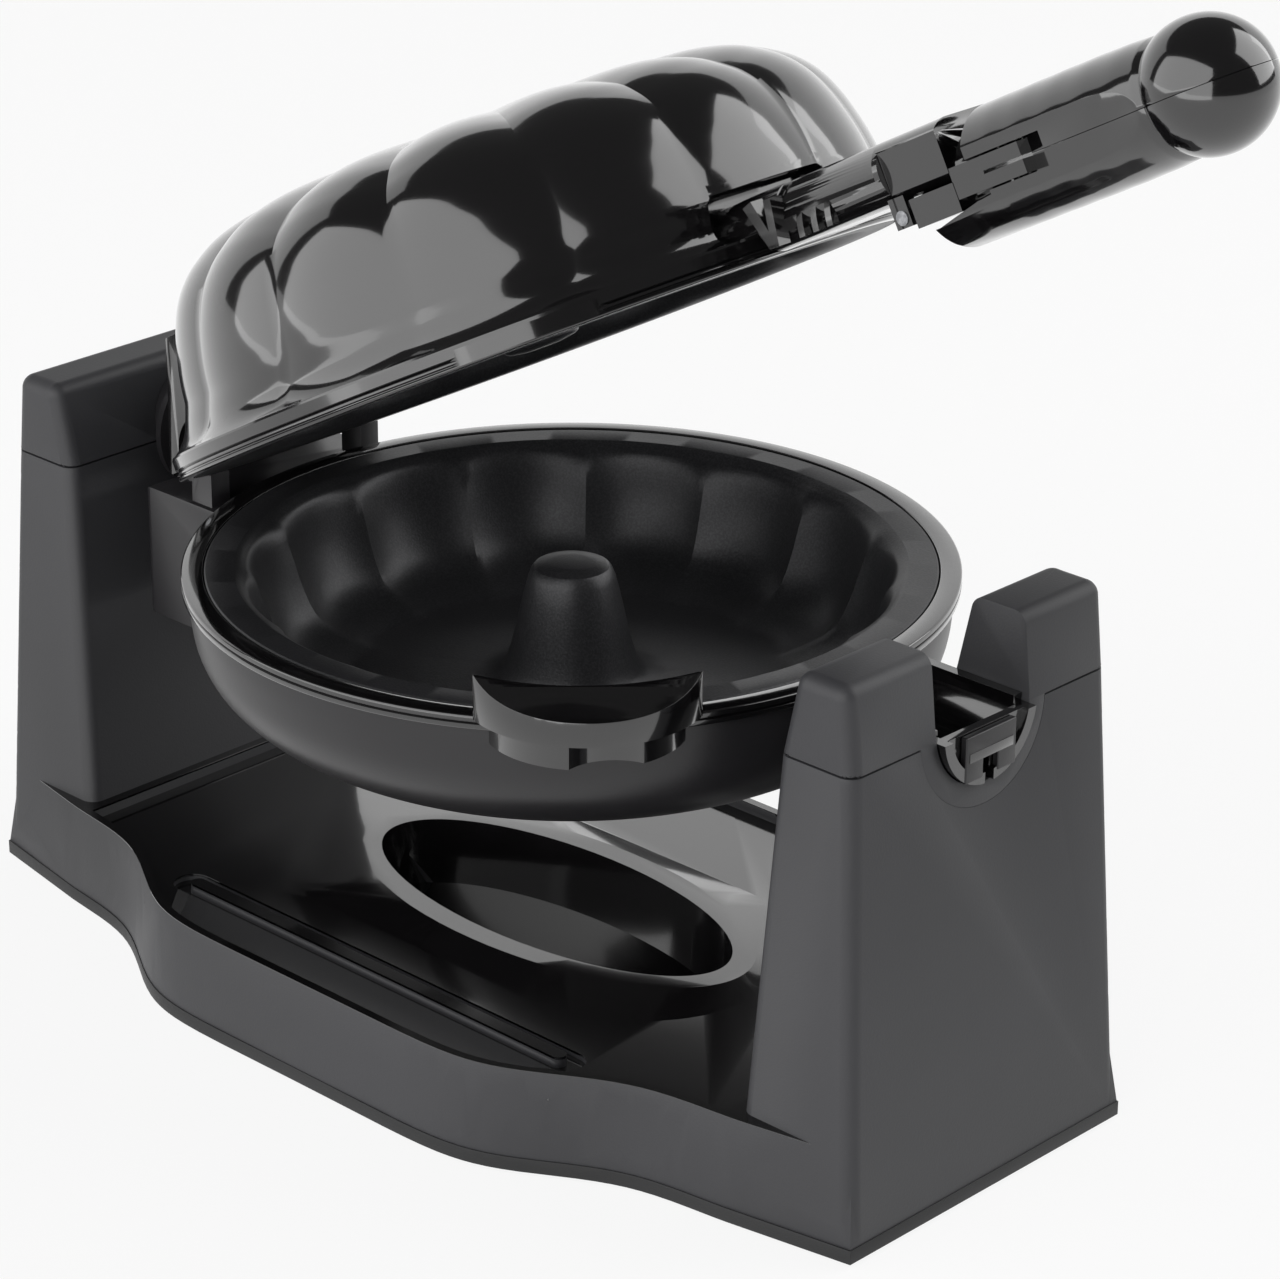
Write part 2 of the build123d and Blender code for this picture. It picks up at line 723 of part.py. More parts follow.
# Front tab: a dished lip over two lugs
with BuildPart() as bowl_tab:
    tab_outer = tab_inner + tab_reach
    lug_low = -(tab_low + tab_lug)
    extrude(crescent(-tab_low, tab_inner, tab_outer, tab_half), amount=tab_high)
    extrude(crescent(lug_low, bowl_radius - 2, tab_outer - 5, tab_half - 4), amount=tab_lug)
    tab_turn = math.radians(tab_angle)
    tab_along = (math.cos(tab_turn), math.sin(tab_turn), 0)
    tab_across = (math.sin(tab_turn), -math.cos(tab_turn), 0)
    with BuildSketch(Plane((unit_x, 0, axis_height), x_dir=tab_along, z_dir=tab_across)):
        with Locations((tab_outer + 7, dish_radius + dish_low)):
            Circle(dish_radius)
    extrude(amount=2 * tab_half, both=True, mode=Mode.SUBTRACT)
    scoop_level = axis_height + lug_low - 1
    with BuildSketch(Plane((unit_x, 0, scoop_level), x_dir=tab_along, z_dir=(0, 0, 1))):
        with Locations((tab_outer + 5, 7)):
            Circle(tab_half / 2)
    extrude(amount=tab_lug, mode=Mode.SUBTRACT)
    bowl_form(0, mode=Mode.SUBTRACT)
    rim_clear(rim_radius, -rim_height, 20)

# Lid: the fluted outside, its inside and the pocket that the neck comes out of.
# Each ring is a share of the height, a share of the radius and a flute depth.
lid_profile = [
    (0.102, 1.0, 0.6),
    (0.17, 0.992, 2.6),
    (0.28, 0.984, 4.4),
    (0.5, 0.965, flute_depth),
    (0.7, 0.918, flute_depth),
    (0.84, 0.845, 4.7),
    (0.93, 0.748, 4.0),
    (0.975, 0.62, 3.0),
    (0.993, 0.44, 2.0),
    (1.0, 0.24, 1.0),
]


def lid_rings(inset):
    """The rings of the lid's outside, or of its inside when inset by the wall."""
    rings = []
    for rise, spread, depth in lid_profile:
        height = lid_height * rise
        shift = lid_shift * min(height / shift_height, 1)
        lowered = inset if rise > 0.6 else 0
        rings.append((height - lowered, dome_radius * spread - inset, depth, shift))
    return rings


with BuildPart() as lid_outside:
    fluted_form(lid_rings(0))
    x_block(pocket_back, unit_x + rim_radius + 5, pocket_half, lid_flange_top, pocket_top, mode=Mode.SUBTRACT)

with BuildPart() as lid_inside:
    fluted_form(lid_rings(lid_wall))
    pocket_low = lid_flange_top - lid_wall
    pocket_high = pocket_top + lid_wall
    pocket_side = pocket_half + lid_wall
    pocket_wall_back = pocket_back - lid_wall
    pocket_out = unit_x + rim_radius
    x_block(pocket_wall_back, pocket_out, pocket_side, pocket_low, pocket_high, mode=Mode.SUBTRACT)

with BuildPart() as lid_shell:
    add(lid_outside.part)
    with BuildSketch(unit_level(lid_flange_low)):
        Circle(lid_radius)
        Circle(lid_flange_inner, mode=Mode.SUBTRACT)
    extrude(amount=lid_flange_top - lid_flange_low)
    add(lid_inside.part, mode=Mode.SUBTRACT)
    extrude(crescent(0, lid_tab_inner, lid_tab_reach, lid_tab_half), amount=lid_tab_top, mode=Mode.SUBTRACT)

with BuildPart() as lid_rim:
    rim_ring(closing_gap, lid_flange_low, 0.7, lid_radius)
    extrude(crescent(0, lid_tab_inner, lid_tab_reach, lid_tab_half), amount=lid_tab_top, mode=Mode.SUBTRACT)

with BuildPart() as lid_tab:
    lid_tab_low = closing_gap + 0.7
    lid_tab_plan = crescent(lid_tab_low, lid_tab_inner, lid_tab_reach, lid_tab_half)
    extrude(lid_tab_plan, amount=lid_tab_top - lid_tab_low)

with BuildPart() as upper_pan:
    pan(upper_pan_depth)

with BuildPart() as upper_element:
    ring_element(closing_gap + upper_pan_depth + pan_wall + element_thick / 2)

with BuildPart() as upper_thermostat:
    thermostat(closing_gap + upper_pan_depth + pan_wall)

# Upper rear block with its two knuckles, between the ears
knuckle_outer = ear_inner - side_gap
knuckle_inner = knuckle_outer - knuckle_thick
with BuildPart() as lid_hinge_block:
    low_back = hinge_x - lid_block_back
    high_back = low_back + lid_block_lean
    low_front = hinge_x + lid_block_reach
    with BuildSketch(Plane.XY.offset(axis_height + lid_block_low)):
        with Locations(((low_back + low_front) / 2, 0)):
            Rectangle(low_front - low_back, 2 * block_half)
    with BuildSketch(Plane.XY.offset(axis_height + lid_block_high)):
        with Locations(((high_back + low_front) / 2 + 5, 0)):
            Rectangle(low_front - high_back + 10, 2 * lid_block_half_top)
    loft()
    fillet(lid_hinge_block.faces().sort_by(Axis.X)[0].edges(), 3.0)
    ear_sweep = barrel_radius + ear_room
    cross_rod(hinge_x, hinge_rise, ear_sweep, knuckle_outer, block_half + 1, mode=Mode.SUBTRACT)
    cross_rod(hinge_x, hinge_rise, barrel_radius, knuckle_inner, knuckle_outer)
    cross_rod(hinge_x, hinge_rise, pin_radius + running_gap, 0, knuckle_outer + 1, mode=Mode.SUBTRACT)
    add(lid_outside.part, mode=Mode.SUBTRACT)
    rim_clear(lid_radius, 0, lid_flange_top)

# Neck bracket on the lid: box neck, side ribs, hooks, lug, pin ears and the slit tongue
with BuildPart() as neck_bracket:
    with BuildSketch(Plane.YZ.offset(pocket_back)) as neck_end_face:
        with Locations((0, axis_height + (neck_top + neck_clear) / 2)):
            Rectangle(2 * neck_half, neck_top - neck_clear)
        fillet(neck_end_face.vertices().group_by(Axis.Z)[-1], 9)
    extrude(amount=neck_end - pocket_back)
    x_block(pocket_back - 1, unit_x + rim_radius + 1.5, 2 * neck_half, 0, lid_flange_top, mode=Mode.SUBTRACT)
    for rib in range(3):
        rib_x = rib_start + 6 * rib
        cross_block(rib_x, rib_x + 2.4, 2, 15, neck_half - 1, neck_half + 2.4)
    swing = rest_radius - rest_room
    with BuildSketch(Plane.YZ.offset(inner_seam - 6)) as past_rest:
        with Locations((0, axis_height)):
            Circle(2 * neck_top)
            Circle(swing, mode=Mode.SUBTRACT)
    extrude(past_rest.sketch, amount=neck_stop + 3 - inner_seam + 6, mode=Mode.SUBTRACT)
    for side in (-1, 1):
        with BuildSketch(Plane.XZ.offset(side * (neck_half - 1))) as hook:
            with BuildLine():
                Polyline(
                    upright(hook_x, 16),
                    upright(hook_x + 4, 17),
                    upright(hook_x + 7, 7),
                    upright(hook_x + 9, 16),
                    upright(hook_x + 12, 16),
                    upright(hook_x + 9, 2),
                    upright(hook_x + 5, 2),
                    upright(hook_x, 16),
                )
            make_face()
        extrude(hook.sketch, amount=side * 5)
    x_block(lug_start, neck_end, neck_half - 1.5, -lug_drop, neck_clear)
    cross_block(pin_x - 3, pin_x + 3, -6.5, neck_clear + 2, 12, 16.5)
    cross_rod(pin_x, -3.5, 2.2, 0, 17, mode=Mode.SUBTRACT)
    x_block(neck_end, neck_end + tongue_length, grip_flat - 0.4, -tongue_half, tongue_half)
    slit_start = neck_end + tongue_length * 0.45
    tongue_end = neck_end + tongue_length
    x_block(slit_start, tongue_end + 1, 2 * grip_flat, -0.5, 0.5, mode=Mode.SUBTRACT)

with BuildPart() as catch_pin:
    cross_rod(pin_x, -3.5, 2.2, 0, 16.5)


grip_screw_places = [(ball_x - 1.75 * ball_radius, 0), (ball_x - 0.45 * ball_radius, 0)]


def grip_solid():
    """The whole handle before it is split: a waved bar with flat sides and a ball end."""
    waves = 5
    start = lip_start
    end = ball_x - 12
    points = []
    for wave in range(2 * waves + 1):
        along = grip_start + 10 + (end - grip_start - 16) * wave / (2 * waves)
        points.append((along, grip_radius + (0.4 if wave % 2 else -0.4)))
    points.append((end, grip_radius))
    wave_start = points[0]
    ball_join = ball_x - math.sqrt(ball_radius**2 - grip_radius**2)
    with BuildSketch(Plane.XZ) as half:
        with BuildLine():
            Line(upright(start, wave_start[1]), upright(*wave_start))
            Spline(*[upright(x, r) for x, r in points])
            Line(upright(end, grip_radius), upright(ball_join, grip_radius))
            ThreePointArc(
                upright(ball_join, grip_radius),
                upright(ball_x + ball_radius * 0.6, ball_radius * 0.8),
                upright(ball_x + ball_radius, 0),
            )
            Line(upright(ball_x + ball_radius, 0), upright(start, 0))
            Line(upright(start, 0), upright(start, wave_start[1]))
        make_face()
    revolve(half.sketch, axis=turn_axis)
    wide = 2 * grip_radius
    cross_block(start - 1, ball_x - 14, -wide, wide, grip_flat, wide, mode=Mode.SUBTRACT)
    slot_end = neck_end + tongue_length + slot_run
    slot_half = tongue_half + slot_gap
    x_block(start - 1, slot_end, wide, -slot_half, slot_half, mode=Mode.SUBTRACT)
    x_rod(start - 1, grip_start + 20, grip_radius - grip_wall, mode=Mode.SUBTRACT)
    with BuildSketch(Plane.XY.offset(axis_height - ball_radius - 1)) as heads:
        with Locations(*grip_screw_places):
            Circle(screw_head)
    extrude(heads.sketch, amount=ball_radius + 1 - head_level, mode=Mode.SUBTRACT)
    with BuildSketch(Plane.XY.offset(axis_height - head_level)) as shanks:
        with Locations(*grip_screw_places):
            Circle(screw_shank)
    extrude(shanks.sketch, amount=head_level + screw_bite, mode=Mode.SUBTRACT)


grip_start = neck_end + grip_gap
grip_end = ball_x + ball_radius + 1
grip_wide = 2 * grip_radius
with BuildPart() as grip_upper:
    grip_solid()
    x_block(lip_start - 1, grip_end, grip_wide, -grip_wide, 0, mode=Mode.SUBTRACT)
    x_block(lip_start - 1, grip_start, grip_wide, 0, grip_wide, mode=Mode.SUBTRACT)

with BuildPart() as grip_lower:
    grip_solid()
    x_block(lip_start - 1, grip_end, grip_wide, 0, grip_wide, mode=Mode.SUBTRACT)
    x_block(lip_start - 1, grip_start + 5, grip_wide, -lip_drop, 0, mode=Mode.SUBTRACT)

with BuildPart() as grip_screws:
    with BuildSketch(Plane.XY.offset(axis_height - head_level - screw_head_thick)):
        with Locations(*grip_screw_places):
            Circle(screw_head)
    extrude(amount=screw_head_thick)
    with BuildSketch(Plane.XY.offset(axis_height - head_level)):
        with Locations(*grip_screw_places):
            Circle(screw_shank)
    extrude(amount=head_level + screw_bite)

stand_pieces = {
    "stand_body": stand_body,
    "bottom_plate": bottom_plate,
    "rubber_feet": rubber_feet,
    "base_screws": base_screws,
    "left_tower_cap": left_tower_cap,
    "right_tower_cap": right_tower_cap,
    "hub_bush": hub_bush,
    "cord_grommet": cord_grommet,
}
bowl_pieces = {
    "hub_shaft": hub_shaft,
    "hub_clip": hub_clip,
    "bowl_housing": bowl_housing,
    "lower_screws": lower_screws,
    "bowl_rim": bowl_rim,
    "lower_pan": lower_pan,
    "lower_element": lower_element,
    "lower_thermostat": lower_thermostat,
    "hinge_block": hinge_block,
    "hinge_pin": hinge_pin,
    "bowl_neck": bowl_neck,
    "bowl_tab": bowl_tab,
}
lid_pieces = {
    "lid_shell": lid_shell,
    "lid_rim": lid_rim,
    "lid_tab": lid_tab,
    "upper_pan": upper_pan,
    "upper_element": upper_element,
    "upper_thermostat": upper_thermostat,
    "lid_hinge_block": lid_hinge_block,
    "neck_bracket": neck_bracket,
    "catch_pin": catch_pin,
    "grip_upper": grip_upper,
    "grip_lower": grip_lower,
    "grip_screws": grip_screws,
}

# The lid and the handle are drawn shut, then swung open about the hinge pin
to_hinge = Location((hinge_x, 0, axis_height + hinge_rise))
opened = to_hinge * Location((0, 0, 0), (0, -opening_angle, 0)) * to_hinge.inverse()
for piece in lid_pieces.values():
    piece.part = piece.part.moved(opened)

os.makedirs("parts", exist_ok=True)
for name, piece in {**stand_pieces, **bowl_pieces, **lid_pieces}.items():
    piece.part.label = name
    export_step(piece.part, f"parts/{name}.step")
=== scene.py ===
import bpy
import json
import math
from mathutils import Matrix, Vector


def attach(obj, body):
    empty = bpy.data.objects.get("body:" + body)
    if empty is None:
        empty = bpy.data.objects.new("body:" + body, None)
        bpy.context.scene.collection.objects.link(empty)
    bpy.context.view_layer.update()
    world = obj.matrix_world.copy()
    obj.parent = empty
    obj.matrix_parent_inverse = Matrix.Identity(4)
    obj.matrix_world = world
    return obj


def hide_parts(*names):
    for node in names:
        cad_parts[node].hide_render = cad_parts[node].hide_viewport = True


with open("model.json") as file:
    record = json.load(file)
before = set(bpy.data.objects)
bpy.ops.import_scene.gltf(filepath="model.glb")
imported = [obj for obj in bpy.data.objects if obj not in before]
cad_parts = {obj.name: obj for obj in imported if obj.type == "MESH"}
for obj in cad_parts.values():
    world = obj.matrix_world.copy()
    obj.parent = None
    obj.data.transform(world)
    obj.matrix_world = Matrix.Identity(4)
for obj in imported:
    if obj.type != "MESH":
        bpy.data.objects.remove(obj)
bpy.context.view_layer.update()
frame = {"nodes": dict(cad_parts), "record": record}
nodes = frame["nodes"]
print("frame loaded", len(nodes), "nodes")

# Places shared by the pieces, in metres
machine = {
    "axisHeight": 0.159,  # the axis that the bowl, lid and handle turn over about
    "unitX": 0.019,  # middle of the bowl and the shut lid
    "hingeX": -0.118,
    "hingeZ": 0.170,
    "openAngle": math.radians(28.9),
    "flutes": 15,
}
axisHeight = machine["axisHeight"]
unitX = machine["unitX"]
clearReach = 0.05  # how far out a cutter goes, past the side of any piece on the axis


def swingOpen(obj):
    # The lid, its neck and the handle are drawn shut and level, and then turned open about the hinge
    turn = Matrix.Rotation(-machine["openAngle"], 4, "Y")
    hinge = Matrix.Translation((machine["hingeX"], 0, machine["hingeZ"]))
    obj.data.transform(hinge @ turn @ hinge.inverted())
    return obj


def deselect():
    if bpy.context.object and bpy.context.object.mode != "OBJECT":
        bpy.ops.object.mode_set(mode="OBJECT")
    bpy.ops.object.select_all(action="DESELECT")


def selectOnly(obj):
    deselect()
    obj.select_set(True)
    bpy.context.view_layer.objects.active = obj


def settle(obj):
    # The object goes back to the origin and its place stays in its mesh
    bpy.context.view_layer.update()
    obj.data.transform(obj.matrix_world)
    obj.matrix_world = Matrix.Identity(4)
    return obj


# Materials


def fromHex(text):
    channels = [int(text[i:i + 2], 16) / 255 for i in (1, 3, 5)]
    return tuple(c / 12.92 if c <= 0.04045 else ((c + 0.055) / 1.055) ** 2.4 for c in channels) + (1.0,)


def addNode(tree, kind, settings=None, links=None):
    # in:Name or in:1 sets an input, stops sets a ramp's places and colours, and the rest are the node's own
    node = tree.nodes.new(kind)
    for key, value in (settings or {}).items():
        if key == "stops":
            for stop, (position, colour) in zip(node.color_ramp.elements, value):
                stop.position = position
                stop.color = fromHex(colour)
        elif key.startswith("in:"):
            node.inputs[int(key[3:]) if key[3:].isdigit() else key[3:]].default_value = value
        else:
            setattr(node, key, value)
    for key, source in (links or {}).items():
        tree.links.new(source, node.inputs[key])
    return node


def startMaterial(name):
    # An empty node material, and the place on the piece that its patterns follow
    material = bpy.data.materials.new(name)
    material.use_nodes = True
    tree = material.node_tree
    tree.nodes.clear()
    return material, tree, addNode(tree, "ShaderNodeTexCoord").outputs["Object"]


def mouldedPlastic(name, look):
    # A body colour with slow tone drift, a spark-eroded or polished skin, and faint wipe marks in the gloss
    material, tree, place = startMaterial(name)
    drift = addNode(tree, "ShaderNodeTexNoise", {"in:Scale": look["driftScale"], "in:Detail": 3.0},
                    {"Vector": place})
    tone = addNode(tree, "ShaderNodeValToRGB", {"stops": [(0.35, look["dark"]), (0.68, look["light"])]},
                   {"Fac": drift.outputs["Fac"]})
    wipe = addNode(tree, "ShaderNodeTexNoise",
                   {"in:Scale": look["wipeScale"], "in:Detail": 4.0, "in:Roughness": 0.6}, {"Vector": place})
    gloss = addNode(tree, "ShaderNodeMapRange", {"in:To Min": look["smooth"], "in:To Max": look["rough"]},
                    {"Value": wipe.outputs["Fac"]})
    grain = addNode(tree, "ShaderNodeTexNoise", {"in:Scale": look["grainScale"], "in:Detail": 2.0},
                    {"Vector": place})
    skin = addNode(tree, "ShaderNodeBump", {"in:Strength": look["grain"], "in:Distance": look["grainDepth"]},
                   {"Height": grain.outputs["Fac"]})
    shader = addNode(tree, "ShaderNodeBsdfPrincipled",
                     {"in:IOR": look["ior"], "in:Coat Weight": look.get("coat", 0.0),
                      "in:Coat Roughness": 0.06, "in:Coat IOR": 1.6},
                     {"Base Color": tone.outputs["Color"], "Roughness": gloss.outputs["Result"],
                      "Normal": skin.outputs["Normal"]})
    addNode(tree, "ShaderNodeOutputMaterial", {}, {"Surface": shader.outputs["BSDF"]})
    return material


def coatedMetal(name, look):
    # Bare, plated or coated metal: fine flecks in the colour and the skin, and wear in the gloss
    material, tree, place = startMaterial(name)
    fleck = addNode(tree, "ShaderNodeTexNoise", {"in:Scale": look["fleckScale"], "in:Detail": 2.0},
                    {"Vector": place})
    tone = addNode(tree, "ShaderNodeValToRGB", {"stops": [(0.40, look["dark"]), (0.66, look["light"])]},
                   {"Fac": fleck.outputs["Fac"]})
    wear = addNode(tree, "ShaderNodeTexNoise", {"in:Scale": look["wearScale"], "in:Detail": 4.0},
                   {"Vector": place})
    gloss = addNode(tree, "ShaderNodeMapRange", {"in:To Min": look["smooth"], "in:To Max": look["rough"]},
                    {"Value": wear.outputs["Fac"]})
    skin = addNode(tree, "ShaderNodeBump", {"in:Strength": look["grain"], "in:Distance": 0.0002},
                   {"Height": fleck.outputs["Fac"]})
    shader = addNode(tree, "ShaderNodeBsdfPrincipled", {"in:Metallic": look["metallic"]},
                     {"Base Color": tone.outputs["Color"], "Roughness": gloss.outputs["Result"],
                      "Normal": skin.outputs["Normal"]})
    addNode(tree, "ShaderNodeOutputMaterial", {}, {"Surface": shader.outputs["BSDF"]})
    return material


# Scales are in cells per metre: 1300 draws a grain of about 0.8 mm, and 9 a drift over about 110 mm

# High-gloss ABS from a polished mould: deep black, mirror-like, with orange peel about 5 mm across
glossAbs = mouldedPlastic("polishedMouldedAbs", {
    "dark": "#0B0A0B", "light": "#131213", "driftScale": 9.0, "wipeScale": 26.0, "smooth": 0.09,
    "rough": 0.17, "grainScale": 180.0, "grain": 0.05, "grainDepth": 0.0002, "ior": 1.53, "coat": 0.9})
# Satin PBT of the bowl and hinge blocks: dark grey with a soft sheen, its spark-eroded skin drawn at 0.7 mm
satinPbt = mouldedPlastic("satinMouldedPbt", {
    "dark": "#1D1C1E", "light": "#252426", "driftScale": 7.0, "wipeScale": 30.0, "smooth": 0.30,
    "rough": 0.40, "grainScale": 1500.0, "grain": 0.18, "grainDepth": 0.0002, "ior": 1.52})
# Matte textured ABS of the stand: charcoal with a fine grain, drawn at 0.8 mm so that it shows
matteAbs = mouldedPlastic("texturedMouldedAbs", {
    "dark": "#313133", "light": "#39393C", "driftScale": 5.0, "wipeScale": 18.0, "smooth": 0.46,
    "rough": 0.56, "grainScale": 1300.0, "grain": 0.25, "grainDepth": 0.0002, "ior": 1.50})
# Polypropylene of the base plate, moulded plain and matte
basePp = mouldedPlastic("mouldedPolypropylene", {
    "dark": "#1A1A1B", "light": "#222223", "driftScale": 8.0, "wipeScale": 20.0, "smooth": 0.5,
    "rough": 0.6, "grainScale": 1200.0, "grain": 0.2, "grainDepth": 0.0002, "ior": 1.49})
# Nitrile rubber of the feet: dull black, dusty in patches
footRubber = mouldedPlastic("nitrileRubber", {
    "dark": "#0E0E0E", "light": "#181818", "driftScale": 60.0, "wipeScale": 80.0, "smooth": 0.7,
    "rough": 0.82, "grainScale": 900.0, "grain": 0.3, "grainDepth": 0.0002, "ior": 1.52})
# Fired steatite of the thermostats: off-white with a waxy skin
ceramic = mouldedPlastic("steatiteCeramic", {
    "dark": "#C9C2B2", "light": "#D8D2C4", "driftScale": 90.0, "wipeScale": 60.0, "smooth": 0.35,
    "rough": 0.5, "grainScale": 1500.0, "grain": 0.15, "grainDepth": 0.0001, "ior": 1.6})
# PTFE non-stick coating sprayed on cast aluminium: dark grey, semi-matte, with metallic flecks of 0.7 mm
nonStick = coatedMetal("sprayedPtfeCoating", {
    "dark": "#2F2F31", "light": "#3C3C3E", "fleckScale": 1400.0, "wearScale": 30.0, "smooth": 0.34,
    "rough": 0.44, "grain": 0.25, "metallic": 0.35})
# Zinc-plated steel of the screws, pins and clip: bright grey with plating crystals of 1.4 mm
zincSteel = coatedMetal("zincPlatedSteel", {
    "dark": "#8E8F92", "light": "#B4B5B8", "fleckScale": 700.0, "wearScale": 90.0, "smooth": 0.22,
    "rough": 0.36, "grain": 0.1, "metallic": 1.0})
# Steel tube of the heating rings, browned by its own heat in patches of 2 mm
elementSteel = coatedMetal("oxidisedSteelTube", {
    "dark": "#4A443E", "light": "#6A635B", "fleckScale": 500.0, "wearScale": 60.0, "smooth": 0.4,
    "rough": 0.6, "grain": 0.2, "metallic": 1.0})

slotLooks = {
    "stand_plastic": matteAbs, "cap_plastic": matteAbs, "base_plastic": basePp, "hub_plastic": satinPbt,
    "gloss_black": glossAbs, "housing_plastic": satinPbt, "pan_coating": nonStick,
    "element_steel": elementSteel, "fastener_steel": zincSteel, "foot_rubber": footRubber,
    "thermostat_ceramic": ceramic,
}
for part in frame["record"]["subparts"]:
    mesh = nodes[part["node"]].data
    mesh.materials.clear()
    mesh.materials.append(slotLooks[part["material_slot"]])
print("materials made")


# Modelling helpers


def spinSection(name, points, steps, centre=(0.0, 0.0, 0.0)):
    # A closed section of (radius, height) points is spun about the upright line through centre
    deselect()
    bpy.ops.mesh.primitive_circle_add(vertices=len(points), radius=0.01, fill_type="NOTHING")
    obj = bpy.context.object
    obj.name = name
    for vertex, (radius, height) in zip(obj.data.vertices, points):
        vertex.co = (radius, 0.0, height)
    bpy.ops.object.mode_set(mode="EDIT")
    bpy.ops.mesh.select_all(action="SELECT")
    bpy.ops.mesh.spin(steps=steps, angle=2 * math.pi, center=(0, 0, 0), axis=(0, 0, 1))
    bpy.ops.mesh.select_all(action="SELECT")
    bpy.ops.mesh.remove_doubles(threshold=0.000002)
    bpy.ops.mesh.normals_make_consistent(inside=False)
    bpy.ops.object.mode_set(mode="OBJECT")
    obj.location = centre
    return settle(obj)


def layAlongX(obj, y=0.0, height=axisHeight):
    # What was spun upright is laid along the machine, on the axis or at this place and height
    obj.data.transform(Matrix.Translation((0, y, height)) @ Matrix.Rotation(math.radians(90), 4, "Y"))
    return obj


def smoothBy(obj, degrees):
    selectOnly(obj)
    bpy.ops.object.shade_smooth_by_angle(angle=math.radians(degrees))
    return obj


def applyModifier(obj, kind, settings):
    selectOnly(obj)
    modifier = obj.modifiers.new(kind.lower(), kind)
    for key, value in settings.items():
        setattr(modifier, key, value)
    bpy.ops.object.modifier_apply(modifier=modifier.name)
    return obj


def roundEdges(obj, width, segments=2):
    return applyModifier(obj, "BEVEL", {"width": width, "segments": segments, "limit_method": "ANGLE",
                                        "angle_limit": math.radians(28), "harden_normals": False})


def cutAway(obj, cutter, operation="DIFFERENCE"):
    # UNION adds the cutter to the piece instead, and INTERSECT keeps only what lies inside the cutter
    applyModifier(obj, "BOOLEAN", {"operation": operation, "object": cutter, "solver": "EXACT"})
    bpy.data.objects.remove(cutter)
    return obj


def addBlock(name, low, high):
    # From one corner to the opposite one, with heights measured from the axis
    deselect()
    low, high = ((x, y, axisHeight + z) for x, y, z in (low, high))
    bpy.ops.mesh.primitive_cube_add(size=1.0, location=[(l + h) / 2 for l, h in zip(low, high)])
    obj = bpy.context.object
    obj.name = name
    obj.scale = [h - l for l, h in zip(low, high)]
    return settle(obj)


def cutSides(obj, name, span, inner, half, opened=False):
    # Takes both sides off beyond inner, along this span of x and to half above and below the axis
    for low, high in ((-clearReach, -inner), (inner, clearReach)):
        block = addBlock(name, (span[0], low, -half), (span[1], high, half))
        cutAway(obj, swingOpen(block) if opened else block)
    return obj


def addPrism(name, points, low, high, upright=True):
    # A plate from an outline: (x, y) between two heights, or (x, height) between two places across.
    # Heights are measured from the axis.
    deselect()
    bpy.ops.mesh.primitive_circle_add(vertices=len(points), radius=0.01, fill_type="NGON")
    obj = bpy.context.object
    obj.name = name
    for vertex, (along, other) in zip(obj.data.vertices, points):
        vertex.co = (along, other, axisHeight + low) if upright else (along, low, axisHeight + other)
    bpy.ops.object.mode_set(mode="EDIT")
    bpy.ops.mesh.select_all(action="SELECT")
    reach = (0, 0, high - low) if upright else (0, high - low, 0)
    bpy.ops.mesh.extrude_region_move(TRANSFORM_OT_translate={"value": reach})
    bpy.ops.mesh.select_all(action="SELECT")
    bpy.ops.mesh.normals_make_consistent(inside=False)
    bpy.ops.object.mode_set(mode="OBJECT")
    return obj


def copyOfNode(node, name, width=0.0):
    # The CAD node's own mesh, merged, freed of flat facets, and given moulded edges where a width is said
    obj = nodes[node].copy()
    obj.data = nodes[node].data.copy()
    obj.name = name
    for key in list(obj.keys()):
        if key.startswith("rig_"):
            del obj[key]
    obj.parent = None
    obj.matrix_world = Matrix.Identity(4)
    bpy.context.scene.collection.objects.link(obj)
    selectOnly(obj)
    bpy.ops.object.mode_set(mode="EDIT")
    bpy.ops.mesh.select_all(action="SELECT")
    bpy.ops.mesh.remove_doubles(threshold=0.00001)
    bpy.ops.mesh.dissolve_limited(angle_limit=math.radians(0.6))
    bpy.ops.object.mode_set(mode="OBJECT")
    if width:
        roundEdges(obj, width)
    return smoothBy(obj, 30)


def finishPiece(obj, body, material, slot, *replaced):
    obj.data.materials.clear()
    obj.data.materials.append(material)
    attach(obj, body)
    if replaced:
        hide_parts(*replaced)
    print("piece", obj.name, len(obj.data.polygons))
    return obj


def throughPoints(points, count):
    # A smooth run through listed points, with count steps from each to the next
    out = []
    for i in range(len(points) - 1):
        before = points[max(i - 1, 0)]
        after = points[min(i + 2, len(points) - 1)]
        for k in range(count):
            t = k / count
            out.append(tuple(
                0.5 * (2 * b + (c - a) * t + (2 * a - 5 * b + 4 * c - d) * t * t
                       + (3 * b - a - 3 * c + d) * t ** 3)
                for a, b, c, d in zip(before, points[i], points[i + 1], after)))
    out.append(tuple(points[-1]))
    return out


def between(table, value):
    # Reads a table of (value, result) rows, with straight lines between them
    if value <= table[0][0]:
        return table[0][1]
    for (a, resultA), (b, resultB) in zip(table, table[1:]):
        if value <= b:
            return resultA + (resultB - resultA) * (value - a) / (b - a)
    return table[-1][1]


def creaseAt(x, y):
    # 0 along the middle of a flute, rising to 1 at the crease on each side of it
    place = (math.atan2(y, x) + math.pi) / (2 * math.pi / machine["flutes"])
    across = 2 * (place - math.floor(place)) - 1
    return across * across


# Lid

